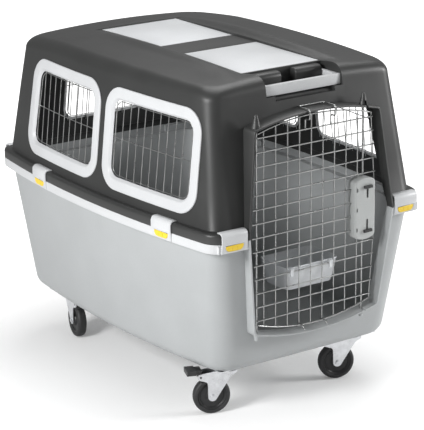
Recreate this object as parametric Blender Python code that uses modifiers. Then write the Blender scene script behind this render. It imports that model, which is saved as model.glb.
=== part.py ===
"""Pet travel crate on four castors, with a wire door, side windows and roof lids.

Units are metres and +Z is up.  The origin is on the floor under the middle of the
crate.  X is the width and Y the depth, with the door towards -Y.
"""
import math

import bmesh
import bpy
from mathutils import Matrix, Vector

# Clearances
GAP = 0.0003                 # between pieces that touch
RUN = 0.0004                 # round pins and sliders
WALL = 0.004                 # moulded shells
WELD = 0.0014                # how far welded wires sink into each other

# Castors
CASTOR_HEIGHT = 0.128
WHEEL_RADIUS = 0.048
WHEEL_WIDTH = 0.026
HUB_RADIUS = 0.016
DISC_RADIUS = 0.031
TYRE_INNER = 0.036
CASTOR_TRAIL = 0.042
CASTOR_FRONT_IN = (0.102, 0.070)    # from the underside's edges in X and Y
CASTOR_REAR_IN = (0.090, 0.120)
AXLE_RADIUS = 0.004
FORK_SHEET = 0.0025
PLATE_LENGTH = 0.100
PLATE_WIDTH = 0.080
PLATE_SHEET = 0.0025
RACE_RADIUS = 0.026
RACE_HEIGHT = 0.009
KINGPIN_RADIUS = 0.005
BOLT_RADIUS = 0.003
RIVET_HEAD = 0.0055
RIVET_SINK = 0.0020           # depth of its seat in the tray's floor
BOLT_PITCH_X = 0.076
BOLT_PITCH_Y = 0.056
BRAKE_BEHIND = 0.030           # its pin behind the axle
BRAKE_BELOW = 0.011            # and below the fork's crown
BRAKE_PIN = 0.0025
BRAKE_LOBE = 0.0134
BRAKE_PAD_HALF = 0.020
FORK_EYE = 0.0115
BRAKE_EYE = 0.0085
AXLE_HEAD = 0.0065

# Shells, measured at the middle of each side
RIM_HALF_WIDTH = 0.365
RIM_HALF_LENGTH = 0.520
SIDE_BOW = 0.043             # how far a side draws in towards its corners
END_BOW = 0.006
BASE_DRAW_SIDE = 0.063         # underside inside the rim
BASE_DRAW_END = 0.060
BASE_CORNER = 0.070
BASE_ROUND = 0.028
TRAY_HEIGHT = 0.364
RIM_BAND = 0.024
RIM_REACH = 0.020
RIM_CORNER = 0.050
FLANGE_HEIGHT = 0.026
FLANGE_ROUND = 0.008
COVER_SIDE_DRAFT = 0.110
COVER_END_DRAFT = 0.180
COVER_CORNER = 0.038
ROOF_HEIGHT = 0.384          # crown of the roof above the seam
ROOF_FALL_SIDE = 0.006
ROOF_FALL_END = 0.015
ROOF_CREST_Y = -0.080
SHOULDER = 0.031
ROOF_STEP = 0.008            # how far the roof drops outside its two rails
ROOF_RAIL = 0.150            # from the middle to a rail's crest
ROOF_STEP_WIDTH = 0.036
ROOF_STEP_MIDDLE = -0.105
ROOF_STEP_REACH = 0.33       # from its middle to where it fades out

# Door portal, half widths at the sill, the rim and the hood
PORTAL_RIM_HALF = 0.227
PORTAL_SILL_HALF = 0.196
PORTAL_HOOD_HALF = 0.194
PORTAL_WALL = 0.004
PORTAL_TAPER = 0.006
SILL_HEIGHT = 0.105          # its ends above the tray's underside
SILL_DIP = 0.028
HOOD_HEIGHT = 0.263          # its ends above the seam
HOOD_RISE = 0.024
PORTAL_PROUD = 0.0019          # its rim in front of the shell's rim
EAR_HEIGHT = 0.032             # bosses on the hood over the rod and the bolt
EAR_FOOT = 0.012
EAR_TIP = 0.004
PORTAL_LEAN = 0.020          # how far sill and hood stand behind the rim

# Door
DOOR_SET_BACK = 0.0349         # its wires behind the portal's rim
DOOR_PITCH = 0.0359
DOOR_ROW_ABOVE_FOOT = 0.008    # least height of the lowest row over its ends
DOOR_ROW_BELOW_HOOD = 0.024
DOOR_COLUMN_PITCH = 0.0364
DOOR_COLUMNS = 9
DOOR_FIRST_COLUMN = 0.021    # from the hinge rod
HINGE_X = -0.178
LOCK_X = 0.153
DOOR_RIM_HALF = 0.194
DOOR_END_HALF = 0.176
DOOR_FOOT = 0.125            # ends of the bottom wire above the tray's underside
DOOR_SAG = 0.028
DOOR_HEAD = 0.250            # ends of the top wire above the seam
DOOR_ARCH = 0.025
ROW_RADIUS = 0.0018
COLUMN_RADIUS = 0.0015
ROD_RADIUS = 0.0025
LOOP_LEFT = -0.030
LOOP_RIGHT = 0.049
PRONGS = (-0.050, 0.022)
DOOR_OPEN = 98.0

# Latch
LATCH_LEFT = 0.114
LATCH_RIGHT = 0.179
LATCH_HEIGHT = 0.162
LATCH_MIDDLE = 0.0075        # above the seam
LATCH_DOME = 0.014
LATCH_PROUD = 0.019            # in front of the wires
LATCH_BEHIND = 0.0085
LATCH_SKIN = 0.0028
LATCH_STROKE = 0.026
TRIGGER_OFFSET = 0.0575      # of each thumb piece from the latch's middle
TRIGGER_WIDTH = 0.025
TRIGGER_SIZE = 0.007
SLIDER_WIDTH = 0.014
SLIDER_DEPTH = 0.010
SLIDER_LENGTH = 0.018
SLOT_WIDTH = 0.006
SPRING_RADIUS = 0.004
SPRING_WIRE = 0.0007
SPRING_CURLS = 4

# Water bowl
BOWL_WIDTH = 0.168
BOWL_DEPTH = 0.118
BOWL_HEIGHT = 0.064
BOWL_TAPER = 0.010
BOWL_WALL = 0.0022
BOWL_MIDDLE = -0.003
BOWL_ROW = 10                # door row that carries its hooks
BOWL_HOOKS = (-0.074, 0.049)
BOWL_HOOK_WIDTH = 0.009
BOWL_LIFT = 0.018

# Side windows
WINDOW_FRONT_LENGTH = 0.382
WINDOW_REAR_LENGTH = 0.372
WINDOW_END_LENGTH = 0.324      # of the window in the rear wall
WINDOW_HEIGHT = 0.262
WINDOW_CORNER = 0.062
WINDOW_BEZEL = 0.033
WINDOW_MIDDLE = 0.179        # above the seam
WINDOW_FRONT_Y = -0.232
WINDOW_REAR_Y = 0.169
WINDOW_REAR_SLANT = 0.024    # how far the rear end of the rear window leans
BEZEL_PROUD = 0.0045
BEZEL_SEAT = 0.008           # bezel over the rim of its hole
GRILLE_PITCH = 0.0295
GRILLE_RADIUS = 0.0012
GRILLE_TAIL = 0.005

# Roof
LID_WIDTH = 0.242
LID_LENGTH = 0.266
LID_THICK = 0.0035
LID_TOP = 0.364              # above the seam
LID_EDGE = 0.0014
LID_AXIS_IN = 0.005          # from the hinge edge to the pin
LID_PIN = 0.0025
LID_PIN_REACH = 0.004
LID_OPEN = 95.0
LID_BEHIND_WELL = 0.010        # front lid's free edge behind the handle's well
BRIDGE_WIDTH = 0.108           # between the lids' hinge edges
LID_REBATE = 0.010
LOCKER_DEPTH = 0.024
ROOF_BLOCK = 0.012           # moulding round the roof's pockets

# Carry handle
HANDLE_WIDTH = 0.232
HANDLE_BAR = 0.011
HANDLE_FACE = 0.026
HANDLE_SET_BACK = 0.062        # its bar behind the wall's face at the flange
HANDLE_FOOT = 0.322          # above the seam
HANDLE_REACH = 0.070           # from the bar's front to the pivot
HANDLE_PIVOT_DROP = 0.009    # below the bar's top
HANDLE_EYE = 0.009
WELL_CLEARANCE = 0.003         # behind the handle's eyes
HANDLE_PIN = 0.004
HANDLE_PIN_REACH = 0.010
HANDLE_OPEN = 85.0
BARREL_INNER = 0.022
BARREL_RADIUS = 0.013
BARREL_TOP = 0.362             # above the seam
GRIP_ROOM = 0.012

# Rim clips
CLIP_WIDTH = 0.074
CLIP_SKIN = 0.0042
CLIP_REACH = 0.019
CLIP_INSET = 0.006
CLIP_PIVOT_IN = 0.003
CLIP_PIVOT_DOWN = 0.0205
CLIP_STUB = 0.0016
CLIP_STUB_REACH = 0.003
CLIP_BLOCK = 0.012
CLIP_PAST_PORTAL = 0.040       # from the portal's side, of the clips at the ends
CLIP_FRONT_IN = 0.195          # from the rim's ends, of the clips at the sides
CLIP_REAR_IN = 0.274
BUTTON_LENGTH = 0.052
BUTTON_HEIGHT = 0.015
BUTTON_THICK = 0.0035
BUTTON_STROKE = 0.0015
BUTTON_DOWN = 0.0105
BUTTON_SUNK = 0.0016          # its rest face behind the clip's thickest skin
BUTTON_PROUD = 0.0006

# Derived levels
TRAY_Z = CASTOR_HEIGHT
BASE_HALF_WIDTH = RIM_HALF_WIDTH - BASE_DRAW_SIDE
BASE_HALF_LENGTH = RIM_HALF_LENGTH - BASE_DRAW_END
CASTOR_FRONT = (BASE_HALF_WIDTH - CASTOR_FRONT_IN[0], CASTOR_FRONT_IN[1] - BASE_HALF_LENGTH)
CASTOR_REAR = (BASE_HALF_WIDTH - CASTOR_REAR_IN[0], BASE_HALF_LENGTH - CASTOR_REAR_IN[1])
SEAM_Z = TRAY_Z + TRAY_HEIGHT
BAND_Z = SEAM_Z - RIM_BAND
LEDGE_Z = SEAM_Z + GAP + FLANGE_HEIGHT
ROOF_Z = SEAM_Z + ROOF_HEIGHT
WALL_HALF_WIDTH = RIM_HALF_WIDTH - RIM_REACH
WALL_HALF_LENGTH = RIM_HALF_LENGTH - RIM_REACH
PORTAL_RIM_Y = -RIM_HALF_LENGTH - PORTAL_PROUD
DOOR_PLANE = PORTAL_RIM_Y + DOOR_SET_BACK
LATCH_Z = SEAM_Z + LATCH_MIDDLE
LATCH_FRONT = DOOR_PLANE - LATCH_PROUD
LATCH_BACK = DOOR_PLANE + LATCH_BEHIND
ROW_Y = DOOR_PLANE - ROW_RADIUS
COLUMN_Y = DOOR_PLANE + COLUMN_RADIUS - WELD
HINGE_Y = DOOR_PLANE + ROD_RADIUS + GAP
SILL_Z = TRAY_Z + SILL_HEIGHT
HOOD_Z = SEAM_Z + HOOD_HEIGHT
HEAD_Z = SEAM_Z + DOOR_HEAD
FOOT_Z = TRAY_Z + DOOR_FOOT
ROW_TOP_Z = HOOD_Z - DOOR_ROW_BELOW_HOOD
WINDOW_Z = SEAM_Z + WINDOW_MIDDLE
LID_Z = SEAM_Z + LID_TOP
HANDLE_Z = SEAM_Z + HANDLE_FOOT
HANDLE_FRONT = HANDLE_SET_BACK - WALL_HALF_LENGTH
HANDLE_PIVOT_Y = HANDLE_FRONT + HANDLE_REACH
WELL_REAR = HANDLE_PIVOT_Y + HANDLE_EYE + WELL_CLEARANCE
BRIDGE_FRONT = WELL_REAR + LID_BEHIND_WELL + LID_LENGTH
BRIDGE_REAR = BRIDGE_FRONT + BRIDGE_WIDTH
CLIP_X = PORTAL_RIM_HALF + CLIP_PAST_PORTAL
CLIP_SIDE_FRONT = CLIP_FRONT_IN - RIM_HALF_LENGTH
CLIP_SIDE_REAR = RIM_HALF_LENGTH - CLIP_REAR_IN
HANDLE_PIVOT_Z = HANDLE_Z + HANDLE_FACE - HANDLE_PIVOT_DROP

PARTS = "pet travel crate"
CUTTERS = "crate cutters"


# Scene and materials

def clear_scene():
    for old in list(bpy.data.objects):
        bpy.data.objects.remove(old, do_unlink=True)
    for name in (PARTS, CUTTERS):
        collection = bpy.data.collections.get(name) or bpy.data.collections.new(name)
        if collection.name not in bpy.context.scene.collection.children:
            bpy.context.scene.collection.children.link(collection)


def finish(name, colour, roughness, metallic=0.0, alpha=1.0):
    """Return the named material, made on first use."""
    material = bpy.data.materials.get(name)
    if material is None:
        material = bpy.data.materials.new(name)
        material.use_nodes = True
        shader = material.node_tree.nodes["Principled BSDF"]
        shader.inputs["Base Color"].default_value = (*colour, 1.0)
        shader.inputs["Roughness"].default_value = roughness
        shader.inputs["Metallic"].default_value = metallic
        shader.inputs["Alpha"].default_value = alpha
    return material


def dark_shell():
    return finish("dark grey moulding", (0.045, 0.047, 0.048), 0.5)


def grey_shell():
    return finish("mid grey moulding", (0.42, 0.44, 0.44), 0.5)


def pale_plastic():
    return finish("pale grey plastic", (0.62, 0.63, 0.64), 0.45)


def bright_wire():
    return finish("bright wire", (0.75, 0.75, 0.74), 0.25, 1.0)


def zinc():
    return finish("zinc plate", (0.72, 0.73, 0.75), 0.32, 1.0)


def black_plastic():
    return finish("black plastic", (0.02, 0.02, 0.02), 0.45)


def black_rubber():
    return finish("black rubber", (0.025, 0.025, 0.025), 0.7)


def yellow_plastic():
    return finish("yellow plastic", (0.85, 0.62, 0.05), 0.4)


def milky_plastic():
    return finish("milky plastic", (0.82, 0.84, 0.85), 0.3, 0.0, 0.7)


# Building helpers

def add_part(name, mesh, material):
    """Make a named sub-part from mesh."""
    part = bpy.data.objects.new(name, mesh)
    part.data.materials.append(material)
    bpy.data.collections[PARTS].objects.link(part)
    return part


def add_cutter(name, mesh):
    cutter = bpy.data.objects.new(name, mesh)
    cutter.hide_render = True
    cutter.display_type = "WIRE"
    bpy.data.collections[CUTTERS].objects.link(cutter)
    return cutter


def to_mesh(name, bm):
    bmesh.ops.recalc_face_normals(bm, faces=bm.faces)
    mesh = bpy.data.meshes.new(name)
    bm.to_mesh(mesh)
    bm.free()
    return mesh


def smooth(part, degrees=35.0):
    part.data.shade_smooth()
    part.data.set_sharp_from_angle(angle=math.radians(degrees))


def boolean(part, other, operation="DIFFERENCE"):
    modifier = part.modifiers.new(other.name, "BOOLEAN")
    modifier.operation = operation
    modifier.solver = "EXACT"
    modifier.object = other


def round_edges(part, width, segments=2, degrees=40.0):
    modifier = part.modifiers.new("round edges", "BEVEL")
    modifier.width = width
    modifier.segments = segments
    modifier.limit_method = "ANGLE"
    modifier.angle_limit = math.radians(degrees)


def put_box(bm, low, high):
    """Add a box between two corners to bm."""
    low, high = Vector(low), Vector(high)
    size = high - low
    place = Matrix.Translation((low + high) / 2) @ Matrix.Diagonal((*size, 1.0))
    bmesh.ops.create_cube(bm, size=1.0, matrix=place)


def put_rod(bm, start, end, radius, sides=12, end_radius=None):
    """Add a capped cylinder or cone from start to end to bm."""
    start, end = Vector(start), Vector(end)
    along = end - start
    turn = along.to_track_quat("Z", "Y").to_matrix().to_4x4()
    place = Matrix.Translation((start + end) / 2) @ turn
    top = radius if end_radius is None else end_radius
    bmesh.ops.create_cone(bm, cap_ends=True, segments=sides, radius1=radius,
                          radius2=top, depth=along.length, matrix=place)


def box_mesh(name, *boxes):
    bm = bmesh.new()
    for low, high in boxes:
        put_box(bm, low, high)
    return to_mesh(name, bm)


def rod_mesh(name, rods, sides=12):
    bm = bmesh.new()
    for start, end, radius in rods:
        put_rod(bm, start, end, radius, sides)
    return to_mesh(name, bm)


def loft(name, rings, cap_first=True, cap_last=True, closed=False):
    """Skin a row of rings of equal length; closed joins the last ring to the first."""
    bm = bmesh.new()
    rows = [[bm.verts.new(point) for point in ring] for ring in rings]
    pairs = list(zip(rows, rows[1:]))
    if closed:
        pairs.append((rows[-1], rows[0]))
    for lower, upper in pairs:
        count = len(lower)
        for i in range(count):
            j = (i + 1) % count
            bm.faces.new((lower[i], lower[j], upper[j], upper[i]))
    if cap_first:
        bm.faces.new(rows[0][::-1])
    if cap_last:
        bm.faces.new(rows[-1])
    return to_mesh(name, bm)


def turned(name, profile, sides, place):
    """Return a mesh of revolution about local Z, run top to bottom on its outer side."""
    bm = bmesh.new()
    points = [bm.verts.new((radius, 0.0, height)) for radius, height in profile]
    for first, second in zip(points, points[1:]):
        bm.edges.new((first, second))
    mesh = bpy.data.meshes.new(name)
    bm.to_mesh(mesh)
    bm.free()
    turning = bpy.data.objects.new(name, mesh)
    bpy.context.scene.collection.objects.link(turning)
    screw = turning.modifiers.new("turn", "SCREW")
    screw.steps = sides
    screw.render_steps = sides
    screw.use_merge_vertices = True
    screw.merge_threshold = 0.00005
    turning.matrix_world = place
    return settle(turning, name)


def settle(source, name):
    """Turn a curve or modified object into a plain welded mesh in world space."""
    bpy.context.view_layer.update()
    graph = bpy.context.evaluated_depsgraph_get()
    mesh = bpy.data.meshes.new_from_object(source.evaluated_get(graph))
    mesh.transform(source.matrix_world)
    mesh.name = name
    bm = bmesh.new()
    bm.from_mesh(mesh)
    bmesh.ops.remove_doubles(bm, verts=bm.verts, dist=0.00002)
    bmesh.ops.recalc_face_normals(bm, faces=bm.faces)
    bm.to_mesh(mesh)
    bm.free()
    old = source.data
    bpy.data.objects.remove(source, do_unlink=True)
    if isinstance(old, bpy.types.Mesh):
        bpy.data.meshes.remove(old)
    return mesh


def wires(name, runs, material, resolution=0):
    """Make one part of round wires welded together, each (points, radius, closed)."""
    curve = bpy.data.curves.new(name, "CURVE")
    curve.dimensions = "3D"
    curve.bevel_depth = 1.0
    curve.bevel_resolution = resolution
    curve.use_fill_caps = True
    for points, radius, closed in runs:
        spline = curve.splines.new("POLY")
        spline.points.add(len(points) - 1)
        for slot, point in zip(spline.points, points):
            slot.co = (*point, 1.0)
            slot.radius = radius
        spline.use_cyclic_u = closed
    loose = bpy.data.objects.new(name, curve)
    bpy.context.scene.collection.objects.link(loose)
    mesh = settle(loose, name)
    if len(runs) > 1:
        mesh = union_of_islands(mesh, name)
    part = add_part(name, mesh, material)
    smooth(part, 95.0)
    return part


def outline_prism(name, outline, half, place):
    """Extrude a flat outline by half each way along local Z, then place it."""
    curve = bpy.data.curves.new(name, "CURVE")
    curve.dimensions = "2D"
    curve.fill_mode = "BOTH"
    curve.extrude = half
    spline = curve.splines.new("POLY")
    spline.points.add(len(outline) - 1)
    for slot, (x, y) in zip(spline.points, outline):
        slot.co = (x, y, 0.0, 1.0)
    spline.use_cyclic_u = True
    flat = bpy.data.objects.new(name, curve)
    bpy.context.scene.collection.objects.link(flat)
    flat.matrix_world = place
    return settle(flat, name)


def arc(centre, radius, start, end, steps):
    """Points of a flat arc, in degrees, both ends included."""
    points = []
    for k in range(steps + 1):
        angle = math.radians(start + (end - start) * k / steps)
        points.append((centre[0] + radius * math.cos(angle),
                       centre[1] + radius * math.sin(angle)))
    return points


# Shape of the shells

def bowed_ring(half_width, half_length, corner, height, side_steps=4, arc_steps=3,
               end_steps=2):
    """Plan outline with bowed sides and round corners; height is a number or f(x, y)."""
    def side(y):
        return half_width - SIDE_BOW * (y / RIM_HALF_LENGTH) ** 2

    def end(x):
        return half_length - END_BOW * (x / RIM_HALF_WIDTH) ** 2

    x_mid, y_mid = half_width - corner, half_length - corner
    tilt_side = tilt_end = 0.0
    for _ in range(6):
        y_turn = y_mid + corner * math.sin(tilt_side)
        tilt_side = math.atan(2 * SIDE_BOW * y_turn / RIM_HALF_LENGTH ** 2)
        x_turn = x_mid + corner * math.sin(tilt_end)
        tilt_end = math.atan(2 * END_BOW * x_turn / RIM_HALF_WIDTH ** 2)
        x_mid = side(y_turn) - corner * math.cos(tilt_side)
        y_mid = end(x_turn) - corner * math.cos(tilt_end)
    quarter = []
    for k in range(side_steps):
        y = y_turn * k / side_steps
        quarter.append((side(y), y))
    quarter += arc((x_mid, y_mid), corner, math.degrees(tilt_side),
                   90.0 - math.degrees(tilt_end), arc_steps)
    for k in range(1, end_steps + 1):
        x = x_turn * (1 - k / end_steps)
        quarter.append((x, end(x)))
    half = quarter + [(-x, y) for x, y in quarter[-2::-1]]
    full = half + [(x, -y) for x, y in half[-2:0:-1]]
    level = height if callable(height) else lambda x, y: height
    return [(x, y, level(x, y)) for x, y in full]


def roof_level(x, y):
    """Height of the roof's skin, with a shallow step outside each rail."""
    across = min(1.0, max(0.0, (abs(x) - ROOF_RAIL) / ROOF_STEP_WIDTH))
    along = max(0.0, 1 - ((y - ROOF_STEP_MIDDLE) / ROOF_STEP_REACH) ** 2)
    step = ROOF_STEP * across * across * (3 - 2 * across) * along
    return (ROOF_Z - ROOF_FALL_SIDE * (x / 0.2) ** 2
            - ROOF_FALL_END * ((y - ROOF_CREST_Y) / 0.37) ** 2 - step)


def cover_half_width(z):
    return WALL_HALF_WIDTH - COVER_SIDE_DRAFT * (z - LEDGE_Z)


def cover_half_length(z):
    return WALL_HALF_LENGTH - COVER_END_DRAFT * (z - LEDGE_Z)


def tray_half_length(z):
    share = (z - TRAY_Z) / (BAND_Z - TRAY_Z)
    return BASE_HALF_LENGTH + share * (WALL_HALF_LENGTH - BASE_HALF_LENGTH)


def tray_rings():
    """Outer surface of the tray from its underside to the seam."""
    def wall(z, inset=0.0, corner=None):
        share = (z - TRAY_Z) / (BAND_Z - TRAY_Z)
        width = BASE_HALF_WIDTH + share * (WALL_HALF_WIDTH - BASE_HALF_WIDTH)
        turn = BASE_CORNER + share * (RIM_CORNER - BASE_CORNER)
        return bowed_ring(width - inset, tray_half_length(z) - inset, turn - inset, z)

    rings = []
    for degrees in (0, 30, 60):
        angle = math.radians(degrees)
        inset = BASE_ROUND * (1 - math.sin(angle))
        rings.append(wall(TRAY_Z + BASE_ROUND * (1 - math.cos(angle)), inset))
    rings.append(wall(TRAY_Z + BASE_ROUND))
    rings.append(wall((TRAY_Z + BASE_ROUND + BAND_Z) / 2))
    rings.append(wall(BAND_Z))
    rings.append(bowed_ring(RIM_HALF_WIDTH, RIM_HALF_LENGTH, RIM_CORNER, BAND_Z))
    rings.append(bowed_ring(RIM_HALF_WIDTH, RIM_HALF_LENGTH, RIM_CORNER, SEAM_Z))
    return rings


def cover_rings(inset=0.0):
    """Outer surface of the cover from the seam to the roof, drawn in by inset."""
    foot = SEAM_Z + GAP
    rings = []
    rings.append(bowed_ring(RIM_HALF_WIDTH - inset, RIM_HALF_LENGTH - inset,
                            RIM_CORNER - inset, foot))
    for degrees in (0, 45, 90):
        angle = math.radians(degrees)
        draw = FLANGE_ROUND * (1 - math.cos(angle)) + inset
        z = LEDGE_Z - inset - FLANGE_ROUND * (1 - math.sin(angle))
        rings.append(bowed_ring(RIM_HALF_WIDTH - draw, RIM_HALF_LENGTH - draw,
                                RIM_CORNER - draw, z))
    rings.append(bowed_ring(cover_half_width(LEDGE_Z) - inset,
                            cover_half_length(LEDGE_Z) - inset,
                            COVER_CORNER - inset, LEDGE_Z - inset))
    top = ROOF_Z - SHOULDER
    for degrees in (0, 30, 60, 90):
        angle = math.radians(degrees)
        draw = SHOULDER * (1 - math.cos(angle)) + inset
        drop = SHOULDER * (1 - math.sin(angle)) + inset
        turn = COVER_CORNER + 0.4 * SHOULDER * (1 - math.cos(angle)) - inset
        ring = bowed_ring(cover_half_width(top) - draw, cover_half_length(top) - draw,
                          turn, lambda x, y, d=drop: roof_level(x, y) - d)
        rings.append([on_the_wall(point, drop, top) for point in ring])
    last = rings[-1]
    for share in (0.70, 0.62, 0.54, 0.30):
        rings.append([(x * share, y * share, roof_level(x * share, y * share) - inset)
                      for x, y, z in last])
    return rings


def on_the_wall(point, drop, top):
    """Move a shoulder point so that the drafted walls stay straight up to it."""
    x, y, z = point
    lower = top - (z + drop - SHOULDER)
    share_x = min(1.0, abs(x) / (cover_half_width(top) - 2 * SIDE_BOW))
    corner_start = cover_half_length(top) - COVER_CORNER
    share_y = min(1.0, max(0.0, (abs(y) - corner_start) / SHOULDER))
    return (x + math.copysign(COVER_SIDE_DRAFT * lower * share_x, x),
            y + math.copysign(COVER_END_DRAFT * lower * share_y, y), z)


def cover_face(y, z, out):
    """Point on the cover's left wall at (y, z), moved outwards by out."""
    bow = SIDE_BOW * (y / RIM_HALF_LENGTH) ** 2
    normal = Vector((1.0, 2 * SIDE_BOW * y / RIM_HALF_LENGTH ** 2, COVER_SIDE_DRAFT))
    normal.normalize()
    return Vector((cover_half_width(z) - bow, y, z)) + normal * out


def rear_face(x, z, out):
    """Point on the cover's rear wall at (x, z), moved outwards by out."""
    bow = END_BOW * (x / RIM_HALF_WIDTH) ** 2
    normal = Vector((2 * END_BOW * x / RIM_HALF_WIDTH ** 2, 1.0, COVER_END_DRAFT))
    normal.normalize()
    return Vector((x, cover_half_length(z) - bow, z)) + normal * out


# Door portal

def portal_front(z):
    """Y of the portal's front edge."""
    if z >= SEAM_Z:
        return PORTAL_RIM_Y + PORTAL_LEAN * (z - SEAM_Z) / HOOD_HEIGHT
    return PORTAL_RIM_Y + PORTAL_LEAN * (SEAM_Z - z) / (SEAM_Z - SILL_Z)


def portal_outline(inset, top, steps=8):
    """Outline in X and Z of the upper or lower half of the portal, drawn in by inset."""
    rim = PORTAL_RIM_HALF - inset
    if top:
        end, level, bulge = PORTAL_HOOD_HALF - inset, HOOD_Z - inset, HOOD_RISE
        sign, rim_z = 1.0, SEAM_Z + GAP
    else:
        end, level, bulge = PORTAL_SILL_HALF - inset, SILL_Z + inset, SILL_DIP
        sign, rim_z = -1.0, SEAM_Z
    corner = 0.012
    points = [(rim, rim_z), (end + 0.002, level - sign * corner)]
    for k in range(steps + 1):
        x = (end - corner * 0.6) * (1 - 2 * k / steps)
        points.append((x, level + sign * bulge * (1 - (x / end) ** 2)))
    points += [(-end - 0.002, level - sign * corner), (-rim, rim_z)]
    return points


def portal_block(name, top):
    """Solid block of the portal from its front edge into the shell's wall."""
    outline = portal_outline(0.0, top)
    front = [(x, portal_front(z), z) for x, z in outline]
    half_length = cover_half_length if top else tray_half_length
    back = [(x, -half_length(z) + 0.9 * WALL, z) for x, z in outline]
    return add_cutter(name, loft(name, [front, back]))


def opening_cutter(name, top):
    """Doorway through the portal and the wall, a little narrower inside."""
    near = portal_outline(PORTAL_WALL, top)
    far = portal_outline(PORTAL_WALL + PORTAL_TAPER, top)
    past = 0.01
    if top:
        near[0], near[-1] = (near[0][0], SEAM_Z - past), (near[-1][0], SEAM_Z - past)
        far[0], far[-1] = (far[0][0], SEAM_Z - past), (far[-1][0], SEAM_Z - past)
    else:
        near[0], near[-1] = (near[0][0], SEAM_Z + past), (near[-1][0], SEAM_Z + past)
        far[0], far[-1] = (far[0][0], SEAM_Z + past), (far[-1][0], SEAM_Z + past)
    rings = [[(x, PORTAL_RIM_Y - past, z) for x, z in near],
             [(x, DOOR_PLANE - past, z) for x, z in near],
             [(x, -WALL_HALF_LENGTH + 0.07, z) for x, z in far]]
    return add_cutter(name, loft(name, rings))


def hood_level(x):
    """Top of the hood at x."""
    return HOOD_Z + HOOD_RISE * (1 - (x / PORTAL_HOOD_HALF) ** 2)


def sill_level(x):
    """Top of the sill at x, at the door."""
    return (SILL_Z + PORTAL_WALL
            - SILL_DIP * (1 - (x / (PORTAL_SILL_HALF - PORTAL_WALL)) ** 2))


def head_level(x):
    """Height of the door's top wire at x."""
    return HEAD_Z + DOOR_ARCH * (1 - (x / DOOR_END_HALF) ** 2)


def foot_level(x):
    return FOOT_Z - DOOR_SAG * (1 - (x / DOOR_END_HALF) ** 2)


def door_edge(z):
    """Half width of the door at height z."""
    if z >= SEAM_Z:
        share = (z - SEAM_Z) / (HEAD_Z - SEAM_Z)
    else:
        share = (SEAM_Z - z) / (SEAM_Z - FOOT_Z)
    return DOOR_RIM_HALF + share * (DOOR_END_HALF - DOOR_RIM_HALF)


# Rim clips

def clip_places():
    """Name, point on the rim's outer face and outward angle of each clip."""
    places = []
    for side, sign in (("left", -1.0), ("right", 1.0)):
        for end, y in (("front", CLIP_SIDE_FRONT), ("rear", CLIP_SIDE_REAR)):
            x = RIM_HALF_WIDTH - SIDE_BOW * (y / RIM_HALF_LENGTH) ** 2
            lean = math.atan(2 * SIDE_BOW * y / RIM_HALF_LENGTH ** 2)
            angle = lean if sign > 0 else math.pi - lean
            places.append((f"{side}_{end}", Vector((sign * x, y, SEAM_Z)), angle))
    for end, sign_y in (("front", -1.0), ("rear", 1.0)):
        for side, sign in (("left", -1.0), ("right", 1.0)):
            y = RIM_HALF_LENGTH - END_BOW * (CLIP_X / RIM_HALF_WIDTH) ** 2
            lean = sign * math.atan(2 * END_BOW * CLIP_X / RIM_HALF_WIDTH ** 2)
            angle = sign_y * (math.pi / 2 - lean)
            places.append((f"{end}_{side}", Vector((sign * CLIP_X, sign_y * y, SEAM_Z)),
                           angle))
    return places


def clip_frame(point, angle):
    """Matrix whose X points outwards from the rim, Y along it and Z up."""
    return Matrix.Translation(point) @ Matrix.Rotation(angle, 4, "Z")


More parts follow.
